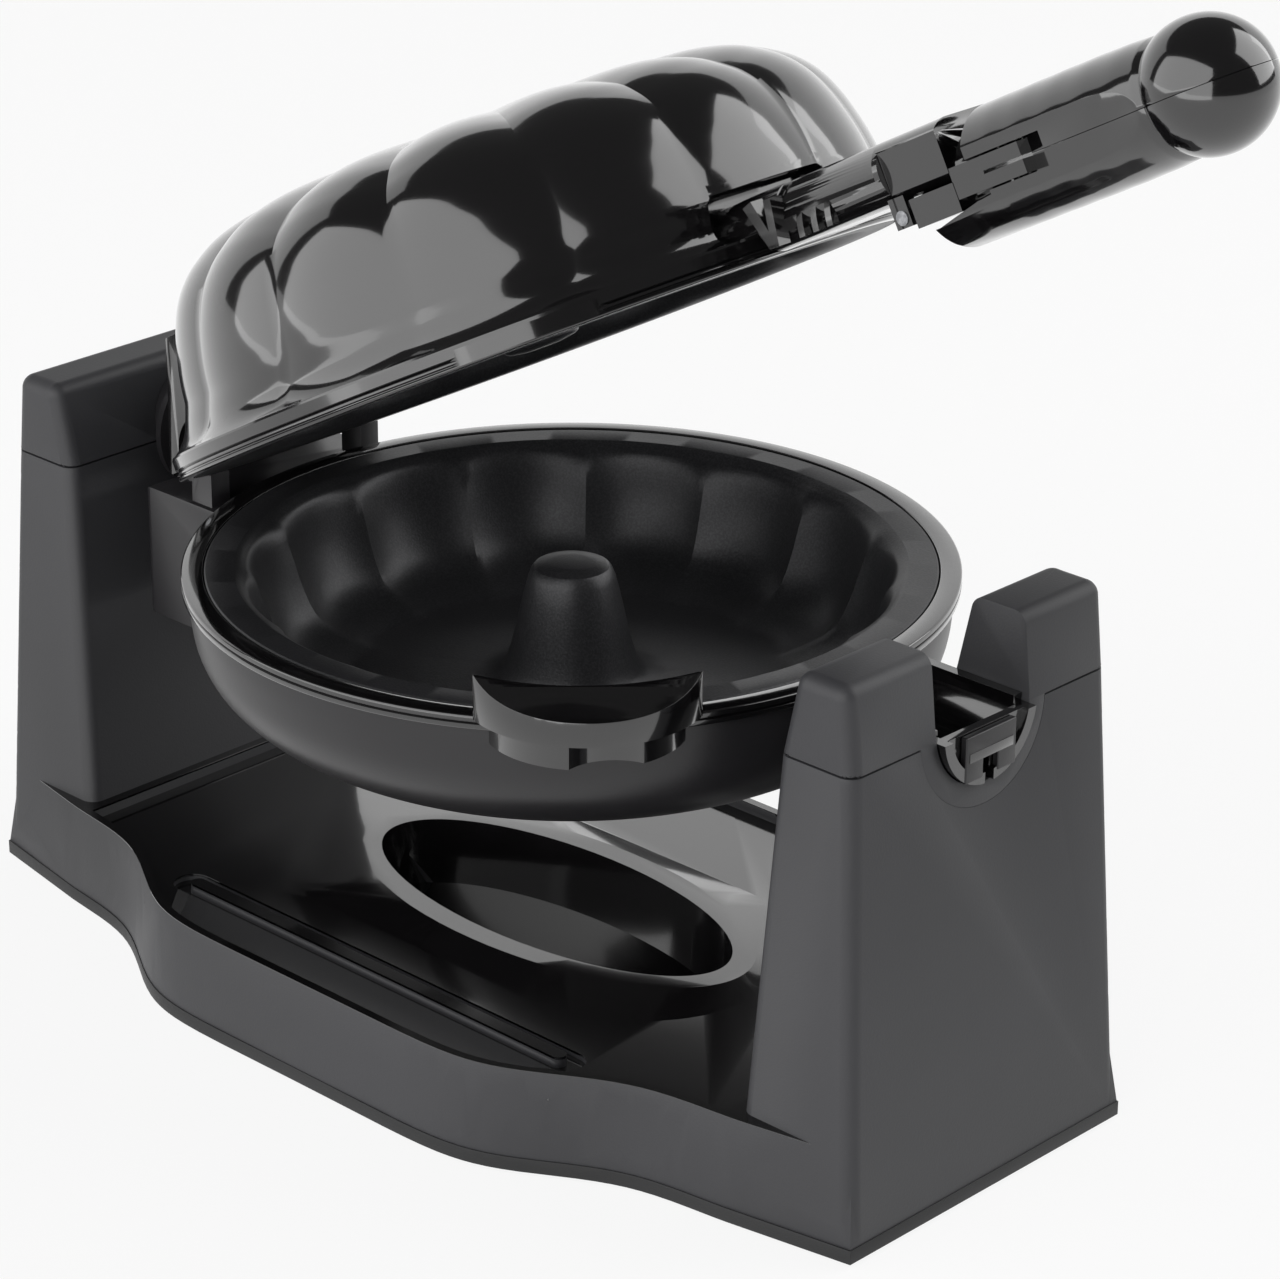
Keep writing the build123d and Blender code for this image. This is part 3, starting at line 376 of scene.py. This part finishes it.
# Radii from the middle of the shut lid, and heights from the closing plane
lidShape = {
    "brim": [(0.1215, 0.0032), (0.1225, 0.0039), (0.1225, 0.0072), (0.1221, 0.0079)],
    "ridge": [(0.1178, 0.0080), (0.1176, 0.0125), (0.1167, 0.0205), (0.1156, 0.0290), (0.1139, 0.0366),
              (0.1117, 0.0440), (0.1085, 0.0513), (0.1043, 0.0572), (0.0985, 0.0623), (0.0888, 0.0676),
              (0.0742, 0.0711), (0.0530, 0.0727), (0.0280, 0.0732)],
    "crown": (0.0, 0.0733),
    "inside": [(0.0, 0.0702), (0.040, 0.0694), (0.064, 0.0672), (0.079, 0.0636), (0.089, 0.0588),
               (0.0975, 0.0515), (0.1045, 0.0410), (0.1080, 0.0300), (0.1105, 0.0180), (0.1120, 0.0110),
               (0.1154, 0.0070)],
    "creaseDepth": [(0.008, 0.0020), (0.036, 0.0021), (0.052, 0.0026), (0.062, 0.0028), (0.069, 0.0025),
                    (0.0715, 0.0018), (0.0728, 0.0006), (0.0733, 0.0)],  # by height
    "flangeLow": 0.0032, "flangeTop": 0.0080,
    # The dome's foot spreads out to the flange, and the creases fade out down it
    "flareHeight": 0.0085, "flareEdge": 0.1216, "flarePower": 2.6, "flareSteps": 8, "joinGap": 0.001,
    "shift": 0.006, "shiftFrom": 0.0079, "shiftTo": 0.022,  # the dome sits this far towards the neck
    "steps": 240,
    # The pocket that the neck comes out of, and the thickness of its lining
    "pocketBack": 0.1278, "pocketHalf": 0.0250, "pocketLow": 0.0081, "pocketTop": 0.0230,
    "lining": 0.0024, "liningLow": 0.0068, "liningEnd": 0.150, "pocketEnd": 0.160, "pocketRound": 0.0025,
}


def makeLidShell():
    shape = lidShape
    ridge = throughPoints(shape["ridge"], 5)
    flare = []
    for k in range(shape["flareSteps"]):
        share = k / shape["flareSteps"]
        height = shape["flangeTop"] + shape["flareHeight"] * share
        base = between([(z, r) for r, z in ridge], height)
        flare.append((base + (shape["flareEdge"] - base) * (1 - share) ** shape["flarePower"], height))
    run = flare + [point for point in ridge if point[1] > flare[-1][1] + shape["joinGap"]]
    outer = shape["brim"] + run + [shape["crown"]]

    # How far each point of the run is pressed in at a crease, square to the run
    pressed = {}
    for before, here, after in zip([run[0]] + run, run, run[1:] + [shape["crown"]]):
        along = Vector((after[0] - before[0], 0, after[1] - before[1])).normalized()
        depth = between(shape["creaseDepth"], here[1])
        share = (here[1] - shape["flangeTop"]) / shape["flareHeight"]
        if share < 1:
            depth *= 1 - (1 - max(share, 0)) ** shape["flarePower"]
        pressed[(round(here[0], 5), round(here[1], 5))] = (depth * along.z, -depth * along.x)

    def fluted(name, section):
        # Each flute is a shallow arc, pressed in deepest along the creases at its two sides
        obj = spinSection(name, section, shape["steps"])
        for vertex in obj.data.vertices:
            x, y, z = vertex.co
            radius = math.hypot(x, y)
            inward, down = pressed.get((round(radius, 5), round(z, 5)), (0.0, 0.0))
            crease = creaseAt(x, y)
            keep = 1 - inward * crease / radius if radius > 0.004 else 1  # the crown's own point stays
            lean = max(z - shape["shiftFrom"], 0) / (shape["shiftTo"] - shape["shiftFrom"])
            vertex.co = (x * keep, y * keep, z - down * crease)
            vertex.co.x += shape["shift"] * min(lean, 1)
        obj.location = (unitX, 0, axisHeight)
        return settle(obj)

    obj = fluted("lidShell", outer + shape["inside"] + [(shape["inside"][-1][0], shape["flangeLow"])])
    half, back, top, lining = shape["pocketHalf"], shape["pocketBack"], shape["pocketTop"], shape["lining"]
    walls = addBlock("pocketLining", (back - lining, -half - lining, shape["liningLow"]),
                     (shape["liningEnd"], half + lining, top + lining))
    cutAway(walls, fluted("lidTrim", outer + [(0.0, shape["flangeLow"])]), "INTERSECT")
    cutAway(obj, walls, "UNION")
    hole = addBlock("pocketHole", (back, -half, shape["pocketLow"]), (shape["pocketEnd"], half, top))
    roundEdges(hole, shape["pocketRound"], 3)
    cutAway(obj, hole)
    smoothBy(swingOpen(obj), 24)
    return finishPiece(obj, "lid", glossAbs, "gloss_black", "lid_shell")


# The bands round the lid's and the bowl's edge. Each row is a radius and a height from the band's low edge,
# its middle, where a fine groove runs round, or its high edge.
rimShape = {
    "low": [(0.1180, 0.0), (0.1243, 0.0), (0.1248, 0.0002), (0.1250, 0.0006)],
    "middle": [(0.1250, -0.0005), (0.1247, -0.0003), (0.1242, -0.0001), (0.1242, 0.0001), (0.1247, 0.0003),
               (0.1250, 0.0005)],
    "high": [(0.1250, -0.0006), (0.1248, -0.0002), (0.1243, 0.0), (0.1186, 0.0), (0.1182, -0.0002),
             (0.1180, -0.0005)],
    "outerFrom": 0.12, "steps": 160,
}
lidBand = {
    "body": "lid", "node": "lid_rim", "low": 0.0003, "high": 0.0032, "narrower": 0.0025, "opened": True,
}
bowlBand = {
    "body": "bowl", "node": "bowl_rim", "low": -0.0050, "high": -0.0003, "narrower": 0.0, "opened": False,
}


def makeRim(name, body, node, low, high, narrower, opened):
    section = []
    for level, rows in ((low, "low"), ((low + high) / 2, "middle"), (high, "high")):
        section += [(r - narrower if r > rimShape["outerFrom"] else r, level + z) for r, z in rimShape[rows]]
    obj = spinSection(name, section, rimShape["steps"], (unitX, 0, axisHeight))
    if opened:
        swingOpen(obj)
    smoothBy(obj, 50)
    return finishPiece(obj, body, glossAbs, "gloss_black", node)


# Bowl and pans

# Radii from the middle of the bowl, and heights from the closing plane
bowlShape = {
    "outside": [(0.1225, -0.0050), (0.1225, -0.0125), (0.1206, -0.0235), (0.1150, -0.0335),
                (0.1040, -0.0430), (0.0880, -0.0505), (0.0700, -0.0547), (0.0576, -0.0560),
                (0.0300, -0.0560), (0.0, -0.0560)],
    "inside": [(0.0, -0.0536), (0.0576, -0.0536), (0.0700, -0.0524), (0.0870, -0.0480), (0.1020, -0.0410),
               (0.1125, -0.0318), (0.1180, -0.0225), (0.1200, -0.0125), (0.1200, -0.0050)],
    "steps": 160,
}


def makeBowlHousing():
    section = throughPoints(bowlShape["outside"], 5) + bowlShape["inside"]
    obj = spinSection("bowlHousing", section, bowlShape["steps"], (unitX, 0, axisHeight))
    smoothBy(obj, 35)
    return finishPiece(obj, "bowl", satinPbt, "housing_plastic", "bowl_housing")


# Each row is a radius, a share of the pan's depth, and what is added to that share
panShape = {
    "inside": [(0.1082, 0.0, 0.0), (0.1060, 0.0, 0.0016), (0.1038, 0.12, 0.0), (0.1000, 0.5, 0.0),
               (0.0925, 0.83, 0.0), (0.0780, 0.965, 0.0), (0.0680, 1.0, 0.0), (0.0400, 0.985, 0.0),
               (0.0270, 0.95, 0.0), (0.0210, 0.80, 0.0), (0.0142, 0.14, 0.0), (0.0110, 0.035, 0.0)],
    "coneTop": [(0.006, 0.02, 0.0), (0.0, 0.02, 0.0)],
    "outside": [(0.0, 0.02, 0.0022), (0.0098, 0.05, 0.0022), (0.0188, 0.85, 0.0), (0.0260, 1.0, 0.0022),
                (0.0720, 1.0, 0.0022), (0.0947, 0.87, 0.0), (0.1022, 0.5, 0.0), (0.1052, 0.12, 0.0),
                (0.1082, 0.0, 0.0032), (0.1172, 0.0, 0.0024), (0.1176, 0.0, 0.0020), (0.1176, 0.0, 0.0004),
                (0.1171, 0.0, 0.0)],
    "gap": 0.0003,  # from the closing plane
    "creaseDepth": [(0.12, 0.0026), (0.4, 0.0042), (0.85, 0.0042)],  # by share of the depth
    "floorDepth": 0.0034,
    "creaseFade": [(0.024, 0.0), (0.034, 0.25), (0.075, 1.0)],  # by radius, towards the cone
    "plainOutside": 0.1085, "plainInside": 0.014,  # the flange and the cone's top have no flutes
    "steps": 240,
}
lowerDish = {"body": "bowl", "node": "lower_pan", "depth": 0.0423, "opened": False}
upperDish = {"body": "lid", "node": "upper_pan", "depth": 0.0551, "opened": True}


def makePan(name, body, node, depth, opened):
    # The bowl's pan opens upwards. The lid's pan faces down onto it and swings with the lid.
    shape = panShape
    gap = shape["gap"]
    inside, coneTop, outside = ([(r, depth * share + more) for r, share, more in shape[rows]]
                                for rows in ("inside", "coneTop", "outside"))
    section = [(r, gap + z) for r, z in throughPoints(inside, 4) + coneTop + outside]
    if not opened:
        section = [(r, -z) for r, z in section]
    press = [(gap, 0.0)] + [(depth * share, deep) for share, deep in shape["creaseDepth"]]
    press.append((gap + depth, shape["floorDepth"]))

    obj = spinSection(name, section, shape["steps"])
    for vertex in obj.data.vertices:
        x, y, z = vertex.co
        radius = math.hypot(x, y)
        if not shape["plainInside"] <= radius <= shape["plainOutside"]:
            continue
        pressed = between(press, abs(z)) * between(shape["creaseFade"], radius) * creaseAt(x, y)
        vertex.co.x = x * (radius - pressed) / radius
        vertex.co.y = y * (radius - pressed) / radius
    obj.location = (unitX, 0, axisHeight)
    settle(obj)
    if opened:
        swingOpen(obj)
    smoothBy(obj, 30)
    return finishPiece(obj, body, nonStick, "pan_coating", node)


makeLidShell()
makeRim("lidRim", **lidBand)
makeRim("bowlRim", **bowlBand)
makeBowlHousing()
makePan("lowerPan", **lowerDish)
makePan("upperPan", **upperDish)
print("lid, bowl and pans made")


# Stand

# The stand's faces that the dark gloss sheet covers, as painted shade where the bowl shades the deck:
# heights, half widths, and how much a face must look up
deckShadeShape = {
    "low": 0.0115, "high": 0.0345, "end": 0.1500, "leastUp": 0.25,
    "platformHigh": 0.0355, "platformHalfX": 0.112, "platformHalfY": 0.058,
    "wellX": 0.010, "wellHalfX": 0.0770, "wellHalfY": 0.0340, "wellLeastUp": 0.05,
    "thickness": 0.0008, "offset": -0.4,  # it stands 0.24 mm proud of the deck
}


def makeDeckShadeSheet():
    # A dark gloss sheet laid over the deck as painted shade where the unit shades the one-piece moulding,
    # with the platform, the well and the groove pressed in it
    shape = deckShadeShape
    shadeSheet = copyOfNode("stand_body", "deckShadeSheet")
    bpy.context.tool_settings.mesh_select_mode = (False, False, True)
    for element in list(shadeSheet.data.vertices) + list(shadeSheet.data.edges):
        element.select = False
    for face in shadeSheet.data.polygons:
        x, y, z = face.center
        onPlatform = (z < shape["platformHigh"] and abs(x) < shape["platformHalfX"]
                      and abs(y) < shape["platformHalfY"])
        inWell = abs(x - shape["wellX"]) < shape["wellHalfX"] and abs(y) < shape["wellHalfY"]
        leastUp = shape["wellLeastUp"] if inWell else shape["leastUp"]
        level = shape["low"] < z < shape["high"] or onPlatform
        face.select = not (level and face.normal.z > leastUp and abs(x) < shape["end"])
    bpy.ops.object.mode_set(mode="EDIT")
    bpy.ops.mesh.delete(type="FACE")
    bpy.ops.object.mode_set(mode="OBJECT")
    bpy.context.tool_settings.mesh_select_mode = (True, False, False)
    applyModifier(shadeSheet, "SOLIDIFY", {"thickness": shape["thickness"], "offset": shape["offset"],
                                      "use_even_offset": True})
    smoothBy(shadeSheet, 9)
    # Painted shade: the deep black gloss stands in for the shade that falls on the deck under the bowl
    return finishPiece(shadeSheet, "stand", glossAbs, "gloss_black")


rodShape = {"half": 0.0880, "radius": 0.0030, "y": -0.073, "height": 0.0295, "steps": 32}


def makeDeckRod():
    # The round-ended bar that stands half out of the groove along the deck's front
    half, radius = rodShape["half"], rodShape["radius"]
    outline = [(0.0, -half)]
    for k in range(1, 7):
        angle = math.radians(15 * k)
        outline.append((radius * math.sin(angle), -half + radius * (1 - math.cos(angle))))
    outline += [(radius, 0.0)] + [(r, -along) for r, along in reversed(outline)]
    rod = layAlongX(spinSection("deckRod", outline, rodShape["steps"]), rodShape["y"], rodShape["height"])
    smoothBy(rod, 40)
    return finishPiece(rod, "stand", matteAbs, "stand_plastic")


# Each piece's node, body, rounding of its edges, material and slot
mouldedCopies = {
    "leftTowerCap": ("left_tower_cap", "stand", 0.0006, matteAbs, "cap_plastic"),
    "rightTowerCap": ("right_tower_cap", "stand", 0.0006, matteAbs, "cap_plastic"),
    "hingeBlock": ("hinge_block", "bowl", 0.0010, satinPbt, "housing_plastic"),
    "bowlTab": ("bowl_tab", "bowl", 0.0014, glossAbs, "gloss_black"),
    "lidHingeBlock": ("lid_hinge_block", "lid", 0.0012, glossAbs, "gloss_black"),
    "standBody": ("stand_body", "stand", 0.0012, matteAbs, "stand_plastic"),
    "bottomPlate": ("bottom_plate", "stand", 0.0004, basePp, "base_plastic"),
}
# The caps' lower face lies at this height, and what is this near its outer edge is lifted by the gap
capSeam = {"height": 0.156, "within": 0.0003, "edge": 0.0022, "gap": 0.0006}


def openCapSeam(cap):
    # A shadow gap shows under the cap's outer edge, and its inner edge still closes the seam
    seam = [vertex for vertex in cap.data.vertices
            if abs(vertex.co.z - capSeam["height"]) < capSeam["within"]]
    ends = [(min(vertex.co[axis] for vertex in seam), max(vertex.co[axis] for vertex in seam))
            for axis in (0, 1)]
    for vertex in seam:
        toEdge = min(min(vertex.co[axis] - ends[axis][0], ends[axis][1] - vertex.co[axis]) for axis in (0, 1))
        if toEdge < capSeam["edge"]:
            vertex.co.z += capSeam["gap"]
    return cap


# The deck's dark gloss sheet is painted shade, standing for the shadow under the bowl
makeDeckShadeSheet()
makeDeckRod()
print("deck panel and rod made")
for pieceName, (node, body, width, material, slotName) in mouldedCopies.items():
    piece = copyOfNode(node, pieceName, width)
    if node.endswith("tower_cap"):
        openCapSeam(piece)
    finishPiece(piece, body, material, slotName, node)
print("moulded copies made")


# Neck

bracketShape = {
    "flatSpan": (0.1990, 0.2235), "flatHalf": 0.0161, "flatReach": 0.03,
    # Radius and place along
    "core": [(0.0, 0.2210), (0.0134, 0.2210), (0.0134, 0.2330), (0.0129, 0.2335), (0.0, 0.2335)],
    "coreSteps": 64, "round": 0.0005,
}


def makeNeckBracket():
    # The lid's half of the neck, planed flat on each side where it leaves the tower, with its inner core
    shape = bracketShape
    obj = copyOfNode("neck_bracket", "neckBracket")
    cutSides(obj, "flatCut", shape["flatSpan"], shape["flatHalf"], shape["flatReach"], True)
    core = layAlongX(spinSection("neckCore", shape["core"], shape["coreSteps"]))
    cutAway(obj, swingOpen(core), "UNION")
    roundEdges(obj, shape["round"])
    smoothBy(obj, 30)
    return finishPiece(obj, "lid", glossAbs, "gloss_black", "neck_bracket")


# Two opposite corners of each block, with heights from the axis
bowlNeckShape = {
    "tongueCut": ((0.1946, -0.012, -0.0200), (0.25, 0.012, -0.0060)),
    "plate": ((0.1920, -0.0115, -0.0185), (0.1944, 0.0115, -0.0035)),
    "slot": ((0.18, -0.0034, -0.0300), (0.21, 0.0034, -0.0105)),
    "round": 0.0004, "plateRound": 0.0005,
}


def makeBowlNeck():
    # The bowl's half of the neck, closed by an upright plate with a slot for the catch
    shape = bowlNeckShape
    obj = copyOfNode("bowl_neck", "bowlNeck")
    cutAway(obj, addBlock("tongueCut", *shape["tongueCut"]))
    roundEdges(obj, shape["round"])
    smoothBy(obj, 30)
    plate = addBlock("neckPlate", *shape["plate"])
    cutAway(plate, addBlock("plateSlot", *shape["slot"]))
    roundEdges(plate, shape["plateRound"], 3)
    smoothBy(plate, 30)
    finishPiece(plate, "bowl", satinPbt, "housing_plastic")
    return finishPiece(obj, "bowl", glossAbs, "gloss_black", "bowl_neck")


makeNeckBracket()
makeBowlNeck()
print("neck made")


# Handle

gripShape = {
    "start": 0.2095, "upperStart": 0.2300,  # the lower shell reaches further back over the neck
    "endRound": [(0.0008, 0.0), (0.0002, 0.0003), (0.0, 0.0010)],  # less radius, and further along
    "radius": 0.0185, "waist": 0.0176, "wave": 0.00003, "waves": 5, "waveLead": 0.006,
    "ballX": 0.3075, "ballRadius": 0.0196, "waistBack": 0.0102, "ballStep": 0.0006,
    # The flat on each side ends in a curve that runs out to the bar's surface
    "flat": 0.0163, "leafEnd": 0.3020, "leafRun": 0.022, "leafLip": 0.0004, "leafReach": 0.03,
    # The window on each side, cut through the wall into the bore
    "slotEnd": 0.2590, "slotHalf": 0.0052, "slotFloor": 0.0112,
    "wall": 0.0036, "boreEnd": 0.2500, "boreRound": 0.003, "lead": 0.01,
    # Where the two shells part, and the scoop that the neck lies over in the lower shell's open end
    "cutFrom": 0.19, "cutTo": 0.36, "endLow": -0.01, "seam": 0.0001,
    "scoop": [(0.19, -0.0100), (0.2120, -0.0100), (0.2200, -0.0086), (0.2290, -0.0070), (0.2350, -0.0064),
              (0.2350, 0.01), (0.19, 0.01)],
    "steps": 96, "boreSteps": 64, "round": 0.0004,
}


def gripOutline(shape):
    # The handle's side from its open end to the tip of the ball, as radius and place along
    radius, ball = shape["radius"], shape["ballRadius"]
    waistX = shape["ballX"] - shape["waistBack"]
    first = shape["upperStart"] + shape["waveLead"]
    outline = [(0.0, shape["start"])]
    outline += [(radius - less, shape["start"] + along) for less, along in shape["endRound"]]
    outline.append((radius, first))
    for k in range(1, 50):
        share = k / 50
        lift = shape["wave"] * math.sin(2 * math.pi * shape["waves"] * share)
        outline.append((radius + lift - (radius - shape["waist"]) * share ** 6,
                        first + (waistX - first) * share))
    low = math.acos((shape["ballX"] - waistX - shape["ballStep"]) / ball)
    for k in range(24):
        angle = low + (math.pi - low) * k / 24
        outline.append((ball * math.sin(angle), shape["ballX"] - ball * math.cos(angle)))
    outline.append((0.0, shape["ballX"] + ball))
    return outline


def makeGrip(name, node, upper):
    # One shell of the handle: a softly waved bar with a leaf-shaped flat on each side and a ball end
    shape = gripShape
    flat, back = shape["flat"], shape["start"] - shape["lead"]
    obj = layAlongX(spinSection(name, gripOutline(shape), shape["steps"]))
    bend = [(shape["leafEnd"] - shape["leafRun"] * (1 - k / 8),
             flat + (shape["radius"] + shape["leafLip"] - flat) * (k / 8) ** 2) for k in range(9)]
    leaf = [(back, flat)] + bend + [(shape["leafEnd"], shape["leafReach"]), (back, shape["leafReach"])]
    for side in (-1, 1):
        cutAway(obj, addPrism("leafCut", [(x, side * y) for x, y in leaf], -clearReach, clearReach))
    cutSides(obj, "slotCut", (back, shape["slotEnd"]), shape["slotFloor"], shape["slotHalf"])
    inside, boreRound = shape["radius"] - shape["wall"], shape["boreRound"]
    bore = spinSection("boreCut", [(0.0, back), (inside, back), (inside, shape["boreEnd"] - boreRound),
                                   (inside - boreRound, shape["boreEnd"]), (0.0, shape["boreEnd"])],
                       shape["boreSteps"])
    cutAway(obj, layAlongX(bore))
    low, high = (-clearReach, shape["seam"]) if upper else (-shape["seam"], clearReach)
    cutAway(obj, addBlock("halfCut", (shape["cutFrom"], -clearReach, low),
                          (shape["cutTo"], clearReach, high)))
    if upper:
        cutAway(obj, addBlock("endCut", (shape["cutFrom"], -clearReach, shape["endLow"]),
                              (shape["upperStart"], clearReach, clearReach)))
    else:
        cutAway(obj, addPrism("scoopCut", shape["scoop"], -clearReach, clearReach, False))
    roundEdges(obj, shape["round"])
    smoothBy(swingOpen(obj), 28)
    return finishPiece(obj, "handle", glossAbs, "gloss_black", node)


makeGrip("gripUpper", "grip_upper", True)
makeGrip("gripLower", "grip_lower", False)
print("handle made")


# Floor, camera and lights

stageShape = {
    "floorRadius": 9.0, "floorInset": 4.0, "floorHeight": -0.0004,
    "sheetRadius": 3.0, "sheetHeight": 2.4, "sheetCuts": 31,
    "sheetMiddle": 136, "sheetSpread": 130,  # degrees
    "paperDark": "#F2F2F2", "paperLight": "#F6F6F6", "fibreScale": 400.0, "paperWhite": 0.88,
    "airStrength": 0.08,
}


def makePaper():
    # Matt white paper: near white to the camera and in reflections, and a plain diffuser to all other light
    material, tree, place = startMaterial("matteWhitePaper")
    fibre = addNode(tree, "ShaderNodeTexNoise", {"in:Scale": stageShape["fibreScale"]}, {"Vector": place})
    tone = addNode(tree, "ShaderNodeValToRGB",
                   {"stops": [(0.0, stageShape["paperDark"]), (1.0, stageShape["paperLight"])]},
                   {"Fac": fibre.outputs["Fac"]})
    paper = addNode(tree, "ShaderNodeBsdfPrincipled", {"in:Roughness": 0.9, "in:Specular IOR Level": 0.1},
                    {"Base Color": tone.outputs["Color"]})
    glow = addNode(tree, "ShaderNodeEmission", {"in:Color": fromHex("#FFFFFF"), "in:Strength": 1.0})
    path = addNode(tree, "ShaderNodeLightPath")
    seen = path.outputs["Is Camera Ray"]
    for ray in ("Is Glossy Ray", "Is Transmission Ray"):
        seen = addNode(tree, "ShaderNodeMath", {"operation": "MAXIMUM"},
                       {0: seen, 1: path.outputs[ray]}).outputs["Value"]
    share = addNode(tree, "ShaderNodeMath", {"operation": "MULTIPLY", "in:1": stageShape["paperWhite"]},
                    {0: seen})
    sheet = addNode(tree, "ShaderNodeMixShader", {},
                    {0: share.outputs["Value"], 1: paper.outputs["BSDF"], 2: glow.outputs["Emission"]})
    addNode(tree, "ShaderNodeOutputMaterial", {}, {"Surface": sheet.outputs["Shader"]})
    return material


def makeStage():
    shape = stageShape
    deselect()
    bpy.ops.mesh.primitive_circle_add(vertices=96, radius=shape["floorRadius"], fill_type="NGON",
                                      location=(0, 0, shape["floorHeight"]))
    floor = bpy.context.object
    floor.name = "paleFloor"
    bpy.ops.object.mode_set(mode="EDIT")
    bpy.ops.mesh.inset(thickness=shape["floorInset"])
    bpy.ops.object.mode_set(mode="OBJECT")
    settle(floor)
    # The backdrop stands behind the machine as a bent sheet, from its right side round to its left
    deselect()
    bpy.ops.mesh.primitive_plane_add(size=1.0)
    sheet = bpy.context.object
    sheet.name = "paleBackdrop"
    bpy.ops.object.mode_set(mode="EDIT")
    bpy.ops.mesh.subdivide(number_cuts=shape["sheetCuts"])
    bpy.ops.object.mode_set(mode="OBJECT")
    for vertex in sheet.data.vertices:
        bend = math.radians(shape["sheetMiddle"] + shape["sheetSpread"] * vertex.co.x)
        height = shape["sheetHeight"] * (vertex.co.y + 0.5)
        vertex.co = (shape["sheetRadius"] * math.cos(bend), shape["sheetRadius"] * math.sin(bend), height)
    paper = makePaper()
    for obj in (floor, sheet):
        obj.data.materials.append(paper)

    world = bpy.data.worlds.new("studioAir")
    world.use_nodes = True
    air = world.node_tree.nodes["Background"]
    air.inputs["Color"].default_value = fromHex("#FFFFFF")
    air.inputs["Strength"].default_value = shape["airStrength"]
    bpy.context.scene.world = world
    bpy.context.scene.view_settings.view_transform = "Standard"


softboxes = {
    "front": {"at": (-0.60, -2.10, 1.40), "size": (5.5, 2.8), "watts": 100.0, "aim": (-0.60, 0, 1.40)},
    "right": {"at": (1.15, 1.45, 1.35), "size": (1.9, 2.1), "watts": 30.0, "aim": (0, 0, 0.15)},
}


def makeLights():
    for name, box in softboxes.items():
        lamp = bpy.data.lights.new(name + "Softbox", "AREA")
        lamp.shape = "RECTANGLE"
        lamp.size, lamp.size_y = box["size"]
        lamp.energy = box["watts"]
        holder = bpy.data.objects.new(name + "Softbox", lamp)
        bpy.context.scene.collection.objects.link(holder)
        holder.location = box["at"]
        aim = Vector(box["aim"]) - Vector(box["at"])
        holder.rotation_euler = aim.to_track_quat("-Z", "Y").to_euler()


# The photograph's viewpoint, with the focal length and the width in its own pixels
photoView = {
    "azimuth": math.radians(43.863), "elevation": math.radians(23.408), "roll": math.radians(0.319),
    "target": (0.0083, 0.04286, 0.11419), "distance": 1.48375, "focal": 4460.67, "width": 1280,
    "sensor": 36.0, "clipEnd": 60.0,
}


def makeCamera():
    azimuth, elevation, roll = photoView["azimuth"], photoView["elevation"], photoView["roll"]
    back = Vector((math.sin(azimuth) * math.cos(elevation), -math.cos(azimuth) * math.cos(elevation),
                   math.sin(elevation)))
    right = (-back).cross(Vector((0, 0, 1))).normalized()
    up = right.cross(-back)
    right, up = math.cos(roll) * right + math.sin(roll) * up, -math.sin(roll) * right + math.cos(roll) * up
    lens = bpy.data.cameras.new("photoCamera")
    lens.sensor_fit = "HORIZONTAL"
    lens.sensor_width = photoView["sensor"]
    lens.lens = photoView["focal"] / photoView["width"] * photoView["sensor"]
    lens.clip_end = photoView["clipEnd"]
    holder = bpy.data.objects.new("photoCamera", lens)
    bpy.context.scene.collection.objects.link(holder)
    turn = Matrix((right, up, back)).transposed().to_4x4()
    place = Vector(photoView["target"]) + back * photoView["distance"]
    holder.matrix_world = Matrix.Translation(place) @ turn
    bpy.context.scene.camera = holder


makeStage()
makeLights()
makeCamera()
print("stage, lights and camera made")
